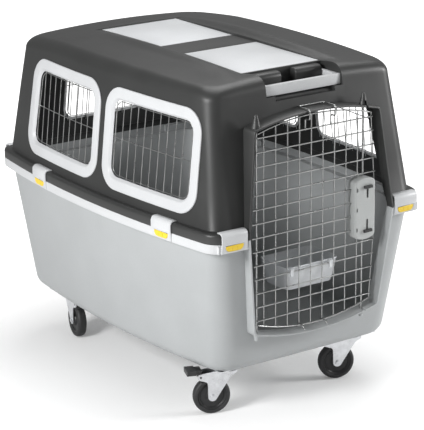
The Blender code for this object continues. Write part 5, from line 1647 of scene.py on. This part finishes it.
    def _lid(self, node: str, front: bool) -> None:
        """One lid with soft edges and its pin."""
        hinge, free = self.span(front)
        half = self.lid_width / 2
        lid = solid(node.replace("_roof", ""), box_mesh(
            node, (-half, min(hinge, free), self.lid_z - self.lid_thick),
            (half, max(hinge, free), self.lid_z)))
        pin = bmesh.new()
        toward = -1.0 if front else 1.0
        y = hinge + toward * 0.005
        put_rod(pin, (-half - 0.004, y, self.lid_z - self.lid_thick),
                (half + 0.004, y, self.lid_z - self.lid_thick), 0.0025, 24)
        combine(lid, [mesh_from(pin, "pin")], Join.ADD)
        round_edges(lid, 0.0009, 3, 60.0)
        smooth(lid, 40.0)
        body = "front_lid" if front else "rear_lid"
        dress(lid, LID_FINISH, Slot.PALE, body, node)

    def _handle(self) -> None:
        """C-shaped pull handle with rounded bar and eyes."""
        half, top = self.handle_width / 2, self.handle_z + self.handle_face
        handle = solid("handle", box_mesh(
            "carry_handle", (-half, self.handle_front, self.handle_z),
            (half, self.handle_front + self.handle_bar, top)))
        arms = []
        for sign in (-1, 1):
            xs = sorted((sign * half, sign * (half - self.handle_bar)))
            outline = arc((0.0, 0.0), self.eye, -90, 90, 16)
            outline += [(self.handle_front - self.pivot_y + 0.002, self.eye),
                        (self.handle_front - self.pivot_y + 0.002, -self.eye)]
            place = sideways(((xs[0] + xs[1]) / 2, self.pivot_y, self.pivot_z))
            arms.append(prism("arm", outline, self.handle_bar / 2, place))
        combine(handle, arms, Join.ADD)
        round_edges(handle, 0.0022, 3, 50.0)
        smooth(handle, 40.0)
        dress(handle, PALE_FINISH, Slot.PALE, "handle", "carry_handle")


@dataclass(frozen=True)
class UpperCover:
    """The dark moulded cover with its flange, windows' holes, hood and roof pockets."""

    body: Body
    portal: Portal
    roof: Roof
    windows: Sequence[SideWindow]
    hinge_x: float = -0.178
    lock_x: float = 0.153
    rod_y: float = -0.4842

    def rings(self, inset: float = 0.0) -> list[list[Point]]:
        """Outer skin from the seam to the roof.

        Args:
            inset: How far the skin is drawn in.

        Returns:
            The skin's rings, lowest first.
        """
        body = self.body
        rings = [body.ring(body.rim_half_width - inset, body.rim_half_length - inset,
                           body.rim_corner - inset, body.seam_z + body.gap)]
        for degrees in range(0, 91, 15):
            angle = math.radians(degrees)
            draw = body.flange_round * (1 - math.cos(angle)) + inset
            z = body.ledge_z - inset - body.flange_round * (1 - math.sin(angle))
            rings.append(body.ring(body.rim_half_width - draw, body.rim_half_length - draw,
                                   body.rim_corner - draw, z))
        foot = 0.003
        for degrees in range(0, 91, 30):
            angle = math.radians(degrees)
            draw = foot * (1 - math.sin(angle))
            z = body.ledge_z - inset + foot * (1 - math.cos(angle))
            rings.append(body.ring(body.cover_half_width(z) - inset + draw,
                                   body.cover_half_length(z) - inset + draw,
                                   body.cover_corner - inset + draw, z))
        top = body.roof_z - body.shoulder
        for k in (1, 2):
            z = body.ledge_z + (top - body.ledge_z) * k * 0.3
            rings.append(body.ring(body.cover_half_width(z) - inset,
                                   body.cover_half_length(z) - inset,
                                   body.cover_corner - inset, z))
        for degrees in range(0, 91, 10):
            angle = math.radians(degrees)
            draw = body.shoulder * (1 - math.cos(angle)) + inset
            drop = body.shoulder * (1 - math.sin(angle)) + inset
            turn = body.cover_corner + 0.4 * body.shoulder * (1 - math.cos(angle)) - inset
            ring = body.ring(body.cover_half_width(top) - draw,
                             body.cover_half_length(top) - draw, turn,
                             lambda x, y, d=drop: body.roof_level(x, y) - d)
            rings.append([self._on_the_wall(point, drop, top) for point in ring])
        last = rings[-1]
        for share in (0.88, 0.76, 0.71, 0.67, 0.63, 0.59, 0.55, 0.51, 0.35, 0.18):
            rings.append([(x * share, y * share,
                           body.roof_level(x * share, y * share) - inset)
                          for x, y, z in last])
        return rings

    def _on_the_wall(self, point: Point, drop: float, top: float) -> Point:
        """Move a shoulder point so that the drafted walls stay straight up to it.

        Args:
            point: The point.
            drop: Its depth under the roof's skin.
            top: Height at which the shoulder's widths were taken.

        Returns:
            The moved point.
        """
        body, (x, y, z) = self.body, point
        lower = top - (z + drop - body.shoulder)
        share_x = min(1.0, abs(x) / (body.cover_half_width(top) - 2 * body.side_bow))
        corner_start = body.cover_half_length(top) - body.cover_corner
        share_y = min(1.0, max(0.0, (abs(y) - corner_start) / body.shoulder))
        return (x + math.copysign(body.side_draft * lower * share_x, x),
                y + math.copysign(body.end_draft * lower * share_y, y), z)

    def build(self) -> None:
        """Build and dress the cover."""
        body = self.body
        cover = solid("cover_shell", loft("cover", self.rings(), False, True))
        shell = cover.modifiers.new("wall", "SOLIDIFY")
        shell.thickness = body.wall
        shell.offset = -1.0
        bake(cover)
        ears = bmesh.new()
        for x in (self.hinge_x, self.lock_x):
            foot = self.portal.hood_level(x) - 0.002
            put_rod(ears, (x, self.rod_y, foot), (x, self.rod_y, foot + 0.032), 0.012, 32,
                    0.004)
        core = loft("core", self.rings(0.001))
        combine(cover, [self.portal.block(True), self.roof.moulding(core),
                        mesh_from(ears, "ears")], Join.ADD)
        holes = bmesh.new()
        top = self.portal.hood_level(self.hinge_x) + 0.012
        put_rod(holes, (self.hinge_x, self.rod_y, top - 0.04),
                (self.hinge_x, self.rod_y, top), 0.0029, 20)
        keep = self.portal.hood_level(self.lock_x)
        put_box(holes, (self.lock_x - 0.0033, self.portal.rim_y - 0.01, keep - 0.03),
                (self.lock_x + 0.0033, self.rod_y + 0.0033, keep + 0.012))
        cuts = [self.portal.doorway(True), mesh_from(holes, "holes")]
        cuts += [self.roof.channel(), *self.roof.pockets()]
        cuts += [window.hole() for window in self.windows]
        combine(cover, cuts, Join.CUT)
        combine(cover, self.roof.barrels(), Join.ADD)
        smooth(cover, 34.0)
        dress(cover, COVER_FINISH, Slot.COVER, "crate", "upper_cover")


@dataclass(frozen=True)
class WireDoor:
    """The welded wire door with its loop over the hood and prongs over the sill."""

    body: Body
    portal: Portal
    plane: float = -0.487
    weld: float = 0.0006
    hinge_x: float = -0.178
    rim_half: float = 0.194
    end_half: float = 0.176
    head: float = 0.250
    arch: float = 0.025
    foot: float = 0.125
    sag: float = 0.028
    pitch: float = 0.0359
    rows: int = 14
    below_hood: float = 0.024
    first_column: float = 0.021
    column_pitch: float = 0.0364
    columns: int = 9
    row_radius: float = 0.0018
    column_radius: float = 0.0015
    rod_radius: float = 0.0025
    latch_left: float = 0.114
    latch_right: float = 0.179
    latch_z: float = 0.4995
    latch_half: float = 0.081
    loop: Flat = (-0.030, 0.049)
    prongs: Flat = (-0.050, 0.022)

    @property
    def row_y(self) -> float:
        """Y of the level wires."""
        return self.plane - self.row_radius

    @property
    def column_y(self) -> float:
        """Y of the upright wires."""
        return self.plane + self.column_radius - self.weld

    def head_level(self, x: float) -> float:
        """Height of the top wire at x."""
        return self.body.seam_z + self.head + self.arch * (1 - (x / self.end_half) ** 2)

    def foot_level(self, x: float) -> float:
        """Height of the bottom wire at x."""
        return self.body.tray_z + self.foot - self.sag * (1 - (x / self.end_half) ** 2)

    def edge(self, z: float) -> float:
        """Half width of the door at a height."""
        seam = self.body.seam_z
        if z >= seam:
            share = (z - seam) / self.head
        else:
            share = (seam - z) / (seam - self.body.tray_z - self.foot)
        return self.rim_half + share * (self.end_half - self.rim_half)

    def build(self) -> None:
        """Build and dress the door's wires and its hinge rod."""
        runs: list[Run] = []
        for k in range(self.rows):
            z = self.portal.hood_z - self.below_hood - self.pitch * k
            right = self.edge(z) + 0.002
            if abs(z - self.latch_z) < self.latch_half + 0.002:
                right = self.latch_left - 0.0003
            runs.append(([(-self.edge(z) - 0.002, self.row_y, z), (right, self.row_y, z)],
                         self.row_radius, False))
        for k in range(self.columns):
            x = self.hinge_x + self.first_column + self.column_pitch * k
            low, high = self.foot_level(x) - 0.001, self.head_level(x) + 0.001
            spans = [(low, high)]
            if self.latch_left < x < self.latch_right:
                spans = [(low, self.latch_z - self.latch_half),
                         (self.latch_z + self.latch_half, high)]
            for start, end in spans:
                runs.append(([(x, self.column_y, start), (x, self.column_y, end)],
                             self.column_radius, False))
        runs.append((self._side_wire(), self.column_radius, False))
        for level in (self.head_level, self.foot_level):
            xs = [self.end_half * (-1 + k / 20) for k in range(41)]
            runs.append(([(x, self.row_y, level(x)) for x in xs], self.row_radius, False))
        runs.append((fillet(self._hood_loop(), 0.006), self.row_radius, False))
        runs += [(fillet(self._prong(x), 0.005), self.row_radius, False) for x in self.prongs]
        door = wires("door_wires", runs)
        dress(door, WIRE_FINISH, Slot.WIRE, "door", "door_grille")
        rod_y = self.plane + self.rod_radius + 0.0003
        low = self.portal.sill_level(self.hinge_x) - 0.012
        high = self.portal.hood_level(self.hinge_x) + 0.011
        rod = wires("hinge_rod", [([(self.hinge_x, rod_y, low), (self.hinge_x, rod_y, high)],
                                   self.rod_radius, False)])
        dress(rod, WIRE_FINISH, Slot.WIRE, "door", "door_hinge_rod")

    def _side_wire(self) -> list[Point]:
        """Slanted wire along the latch side."""
        heights = (self.body.tray_z + self.foot - 0.002, self.body.seam_z,
                   self.body.seam_z + self.head + 0.002)
        return fillet([(self.edge(z), self.column_y, z) for z in heights], 0.04, 8)

    def _hood_loop(self) -> list[Point]:
        """Corner points of the loop that rounds the hood's edge and lies over it."""
        crown = self.portal.hood_z + self.portal.hood_rise
        front = self.portal.front(crown) - self.row_radius - 0.002
        above = crown + self.row_radius + 0.001
        back = -self.body.cover_half_length(above) - self.row_radius - 0.003
        inside = self.row_y + 2 * self.row_radius - self.weld
        low_end = self.portal.hood_z - self.below_hood - 0.003
        points: list[Point] = []
        for x, toward in ((self.loop[0], 1), (self.loop[1], -1)):
            low = self.head_level(x) - 0.006 - self.row_radius * 2
            leg = [(x, inside, low_end), (x, inside, low), (x, front, low),
                   (x, front, above), (x, back, above)]
            points += leg if toward > 0 else leg[::-1]
        return points

    def _prong(self, x: float) -> list[Point]:
        """Corner points of one prong over the sill."""
        low, step = self.foot_level(x), self.row_radius * 2
        inside = self.row_y + 2 * self.row_radius - self.weld
        edge = self.portal.rim_y + self.portal.lean
        return [(x, inside, low - step), (x, inside, low + step + 0.001),
                (x, edge - 0.002, low + step + 0.001), (x, edge - 0.012, low - 0.004)]


@dataclass(frozen=True)
class Latch:
    """The double latch on the door: domed housing, thumb pieces, bolts and springs."""

    left: float = 0.114
    right: float = 0.179
    height: float = 0.162
    middle_z: float = 0.4995
    dome: float = 0.014
    front: float = -0.506
    back: float = -0.4785
    skin: float = 0.0028
    lock_x: float = 0.153
    offset: float = 0.0575
    stroke: float = 0.026
    slot: float = 0.006
    notch_in: float = 0.0045
    notch_width: float = 0.004
    notch_height: float = 0.010
    notch_pitch: float = 0.052

    def outline(self, inset: float, steps: int = 14) -> list[Flat]:
        """Domed outline in X and Z.

        Args:
            inset: How far it is drawn in.
            steps: Chords along each dome.

        Returns:
            The outline's points in order.
        """
        half_width = (self.right - self.left) / 2 - inset
        straight, dome = self.height / 2 - self.dome, self.dome - inset * 0.4
        points = []
        for sign in (1, -1):
            for k in range(steps + 1):
                x = sign * half_width * math.cos(math.pi * k / steps)
                rise = dome * math.sqrt(max(0.0, 1 - (x / half_width) ** 2))
                points.append((x, sign * (straight + rise - inset * 0.3)))
        middle = (self.left + self.right) / 2
        return [(middle + x, self.middle_z + z) for x, z in points]

    def ring(self, inset: float, y: float) -> list[Point]:
        """Outline laid at a depth."""
        return [(x, y, z) for x, z in self.outline(inset)]

    def build(self) -> None:
        """Build and dress the latch's pieces."""
        rings = [self.ring(0.0, self.back), self.ring(0.0, self.front + 0.005)]
        for k in range(1, 7):
            angle = math.radians(15 * k)
            rings.append(self.ring(0.005 * (1 - math.cos(angle)),
                                   self.front + 0.005 * (1 - math.sin(angle))))
        housing = solid("latch_shell", loft("latch_housing", rings))
        inner = [self.ring(self.skin, self.back + 0.01),
                 self.ring(self.skin, self.front + 0.006),
                 self.ring(self.skin + 0.004, self.front + self.skin)]
        combine(housing, [loft("cavity", inner)], Join.CUT)
        cuts, slack = [], 0.0004
        for sign in (1, -1):
            far = self.middle_z + sign * (self.offset + self.slot / 2 + slack)
            near = self.middle_z + sign * (self.offset - self.stroke - self.slot / 2 - slack)
            cuts.append(box_mesh("slot", (self.lock_x - self.slot / 2, self.front - 0.01, near),
                                 (self.lock_x + self.slot / 2, self.front + 0.008, far)))
        left, half = self.left + self.notch_in, self.notch_height / 2
        for z in (-self.notch_pitch, 0.0, self.notch_pitch):
            middle = self.middle_z + z
            cuts.append(box_mesh("notch", (left, self.front - 0.004, middle - half),
                                 (left + self.notch_width, self.front + 0.009, middle + half)))
        combine(housing, cuts, Join.CUT)
        smooth(housing, 34.0)
        dress(housing, LATCH_FINISH, Slot.PALE, "door", "latch_housing")
        dress_node("latch_back_cover", LATCH_FINISH)
        for name in ("upper", "lower"):
            dress_node(f"{name}_latch_trigger", BLACK_FINISH)
            dress_node(f"{name}_latch_spring", WIRE_FINISH)
            self._bolt(name)

    def _bolt(self, name: str) -> None:
        """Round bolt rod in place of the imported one."""
        low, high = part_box(f"{name}_latch_bolt")
        middle = (low + high) / 2
        rod = wires(f"{name}_bolt_rod", [([(middle.x, middle.y, low.z),
                                           (middle.x, middle.y, high.z)], 0.0025, False)])
        dress(rod, WIRE_FINISH, Slot.WIRE, f"{name}_bolt", f"{name}_latch_bolt")


@dataclass(frozen=True)
class WaterBowl:
    """The milky bowl that hangs on a door wire."""

    width: float = 0.168
    depth: float = 0.118
    height: float = 0.064
    taper: float = 0.010
    wall: float = 0.0022
    middle_x: float = -0.003
    front_y: float = -0.4851
    wire_z: float = 0.3719
    row_radius: float = 0.0018
    row_y: float = -0.4888
    hooks: Flat = (-0.074, 0.049)
    hook_width: float = 0.009

    def ring(self, inset: float, corner: float, z: float) -> list[Point]:
        """Rounded outline at a height.

        Args:
            inset: How far it is drawn in.
            corner: Corner radius.
            z: The height.

        Returns:
            The ring's points in order.
        """
        half_width, half_depth = self.width / 2 - inset, self.depth / 2 - inset
        points = []
        for start, sx, sy in ((0, 1, 1), (90, -1, 1), (180, -1, -1), (270, 1, -1)):
            centre = (self.middle_x + sx * (half_width - corner),
                      self.front_y + self.depth / 2 + sy * (half_depth - corner))
            points += arc(centre, corner, start, start + 90, 8)
        return [(x, y, z) for x, y in points]

    def build(self) -> None:
        """Build and dress the bowl."""
        rim = self.wire_z + self.row_radius + 0.008
        floor = rim - self.height
        rows = ((self.taper + 0.006, 0.012, 0.0), (self.taper + 0.0025, 0.013, 0.0010),
                (self.taper + 0.001, 0.014, 0.004),
                (self.taper * 0.55, 0.015, self.height * 0.5),
                (self.wall, 0.014, self.height - 0.0045),
                (self.wall * 0.7, 0.0145, self.height - 0.0032),
                (0.0003, 0.016, self.height - 0.003), (0.0, 0.016, self.height - 0.002),
                (0.0005, 0.016, self.height), (self.wall - 0.0003, 0.0145, self.height),
                (self.wall, 0.0142, self.height - 0.0006),
                (self.wall * 1.9, 0.0125, self.height - 0.0065),
                (self.taper * 0.55 + self.wall, 0.013, self.height * 0.5),
                (self.taper + 0.0012 + self.wall, 0.012, 0.0060),
                (self.taper + 0.0025 + self.wall, 0.011, 0.0034),
                (self.taper + 0.006 + self.wall, 0.010, self.wall))
        rings = [self.ring(inset, corner, floor + z) for inset, corner, z in rows]
        bowl = solid("bowl", loft("water_bowl", rings))
        over = self.wire_z + self.row_radius + 0.0003
        nose = self.row_y - self.row_radius - 0.0003
        half = self.hook_width / 2
        for x in self.hooks:
            for low, high in (((x - half, nose - 0.0025, over),
                               (x + half, self.front_y + self.wall + 0.003, rim - 0.0006)),
                              ((x - half, nose - 0.0025, self.wire_z - 0.010),
                               (x + half, nose, rim - 0.0006))):
                combine(bowl, [box_mesh("hook", low, high)], Join.ADD)
        smooth(bowl, 35.0)
        dress(bowl, BOWL_FINISH, Slot.BOWL, "bowl", "water_bowl")


@dataclass(frozen=True)
class Lamp:
    """One soft area lamp."""

    name: str
    place: Point
    aim: Point
    size: Flat
    power: float

    def light(self) -> None:
        """Add the lamp to the scene."""
        data = bpy.data.lights.new(self.name, "AREA")
        data.shape = "RECTANGLE"
        data.size, data.size_y = self.size
        data.energy = self.power
        lamp = bpy.data.objects.new(self.name, data)
        bpy.context.scene.collection.objects.link(lamp)
        lamp.location = self.place
        lamp.rotation_euler = (Vector(self.aim) - Vector(self.place)).to_track_quat(
            "-Z", "Y").to_euler()


@dataclass(frozen=True)
class Studio:
    """Pale floor, white backdrop, soft lamps and the camera at the photograph's angle."""

    camera_place: Point = (-2.9974, -4.3212, 2.0231)
    azimuth: float = -35.02
    elevation: float = 17.31
    roll: float = -0.54
    lens: float = 172.05
    # Glow of the floor next to the crate, kept low as a painted shadow round it.
    glow_in_painted_shadow: float = 0.14
    floor_far: float = 1.0
    painted_shadow_reach: Flat = (0.5, 2.6)
    ambient: float = 0.28
    lamps: tuple[Lamp, ...] = field(default=(
        Lamp("key", (-2.4, -0.65, 1.5), (0.0, -0.2, 0.4), (0.8, 0.8), 60.0),
        Lamp("top", (1.0, 0.7, 3.4), (0.0, 0.0, 0.5), (2.4, 2.2), 66.0),
        Lamp("front", (3.2, -2.1, 1.6), (0.1, -0.5, 0.4), (1.0, 1.2), 100.0)))

    def build(self) -> None:
        """Set up the floor, the world, the lamps and the camera."""
        self._floor()
        self._world()
        for lamp in self.lamps:
            lamp.light()
        self._camera()
        bpy.context.scene.view_settings.view_transform = "Standard"

    def _floor(self) -> None:
        """Large pale floor that keeps the crate's shadow; its glow to the camera is kept low
        near the crate as a painted shadow round it and rises to white far off.
        """
        bm = bmesh.new()
        bmesh.ops.create_grid(bm, x_segments=1, y_segments=1, size=30.0)
        floor = solid("floor", mesh_from(bm, "floor"))
        material = bpy.data.materials.new("pale floor")
        material.use_nodes = True
        shading = Shading(material.node_tree)
        place = shading.add("TexCoord", {}).outputs["Object"]
        far = shading.add("VectorMath", {0: place}, "LENGTH").outputs["Value"]
        # Painted shadow: the floor's glow to the camera is low near the crate and rises to white
        # far off.
        glow_with_painted_shadow = shading.rescale(far, self.painted_shadow_reach, (self.glow_in_painted_shadow, self.floor_far))
        strength = shading.add("Math", {0: glow_with_painted_shadow, 1: shading.seen()}, "MULTIPLY")
        grain = shading.add("TexNoise", {"Scale": 40.0}).outputs["Fac"]
        shading.feed(material.node_tree.nodes["Principled BSDF"], {
            "Base Color": (0.86, 0.86, 0.86, 1.0), "Specular IOR Level": 0.1,
            "Roughness": shading.rescale(grain, (0.0, 1.0), (0.7, 0.85)),
            "Emission Color": (1.0, 1.0, 1.0, 1.0),
            "Emission Strength": strength.outputs["Value"]})
        floor.data.materials.append(material)

    def _world(self) -> None:
        """Plain pale surroundings, white to the camera and through clear plastic."""
        world = bpy.data.worlds.new("studio")
        bpy.context.scene.world = world
        world.use_nodes = True
        shading = Shading(world.node_tree)
        level = shading.rescale(shading.seen(), (0.0, 1.0), (self.ambient, 1.0))
        shading.feed(world.node_tree.nodes["Background"],
                     {"Color": (1.0, 1.0, 1.0, 1.0), "Strength": level})

    def _camera(self) -> None:
        """Camera solved from the photograph's perspective."""
        data = bpy.data.cameras.new("camera")
        data.lens = self.lens
        data.sensor_width = 36.0
        data.sensor_fit = "AUTO"
        data.clip_start = 0.1
        data.clip_end = 100.0
        camera = bpy.data.objects.new("camera", data)
        bpy.context.scene.collection.objects.link(camera)
        az, el, roll = (math.radians(a) for a in (self.azimuth, self.elevation, self.roll))
        back = Vector((math.sin(az) * math.cos(el), -math.cos(az) * math.cos(el),
                       math.sin(el)))
        right = Vector((math.cos(az), math.sin(az), 0.0))
        up = back.cross(right)
        c, s = math.cos(roll), math.sin(roll)
        turned_right, turned_up = c * right + s * up, -s * right + c * up
        matrix = Matrix((turned_right, turned_up, back)).transposed().to_4x4()
        matrix.translation = Vector(self.camera_place)
        camera.matrix_world = matrix
        bpy.context.scene.camera = camera


def main() -> None:
    """Build the crate's looks, sub-assembly by sub-assembly."""
    logging.basicConfig(level=logging.INFO, format="%(name)s: %(message)s")
    body = Body()
    portal = Portal(body)
    clips = RimClips(body)
    roof = Roof(body)
    windows = [SideWindow(body, side, end, y, slant, length)
               for side in ("left", "right")
               for end, y, slant, length in (("front", -0.232, 0.0, 0.382),
                                             ("rear", 0.169, 0.024, 0.372))]
    windows.append(SideWindow(body, "rear", "", 0.0, 0.0, 0.324))
    LowerTray(body, portal, clips).build()
    UpperCover(body, portal, roof, windows).build()
    for window in windows:
        window.build()
    roof.build()
    clips.build()
    WireDoor(body, portal).build()
    Latch().build()
    WaterBowl().build()
    for name, x, y, turn in (("front_left", -0.200, -0.390, -22.0),
                             ("front_right", 0.200, -0.390, -22.0),
                             ("rear_left", -0.212, 0.340, 78.0),
                             ("rear_right", 0.212, 0.340, 55.0)):
        Castor(name, x, y, turn, name.endswith("left")).build()
    Studio().build()


if __name__ == "__main__":
    main()
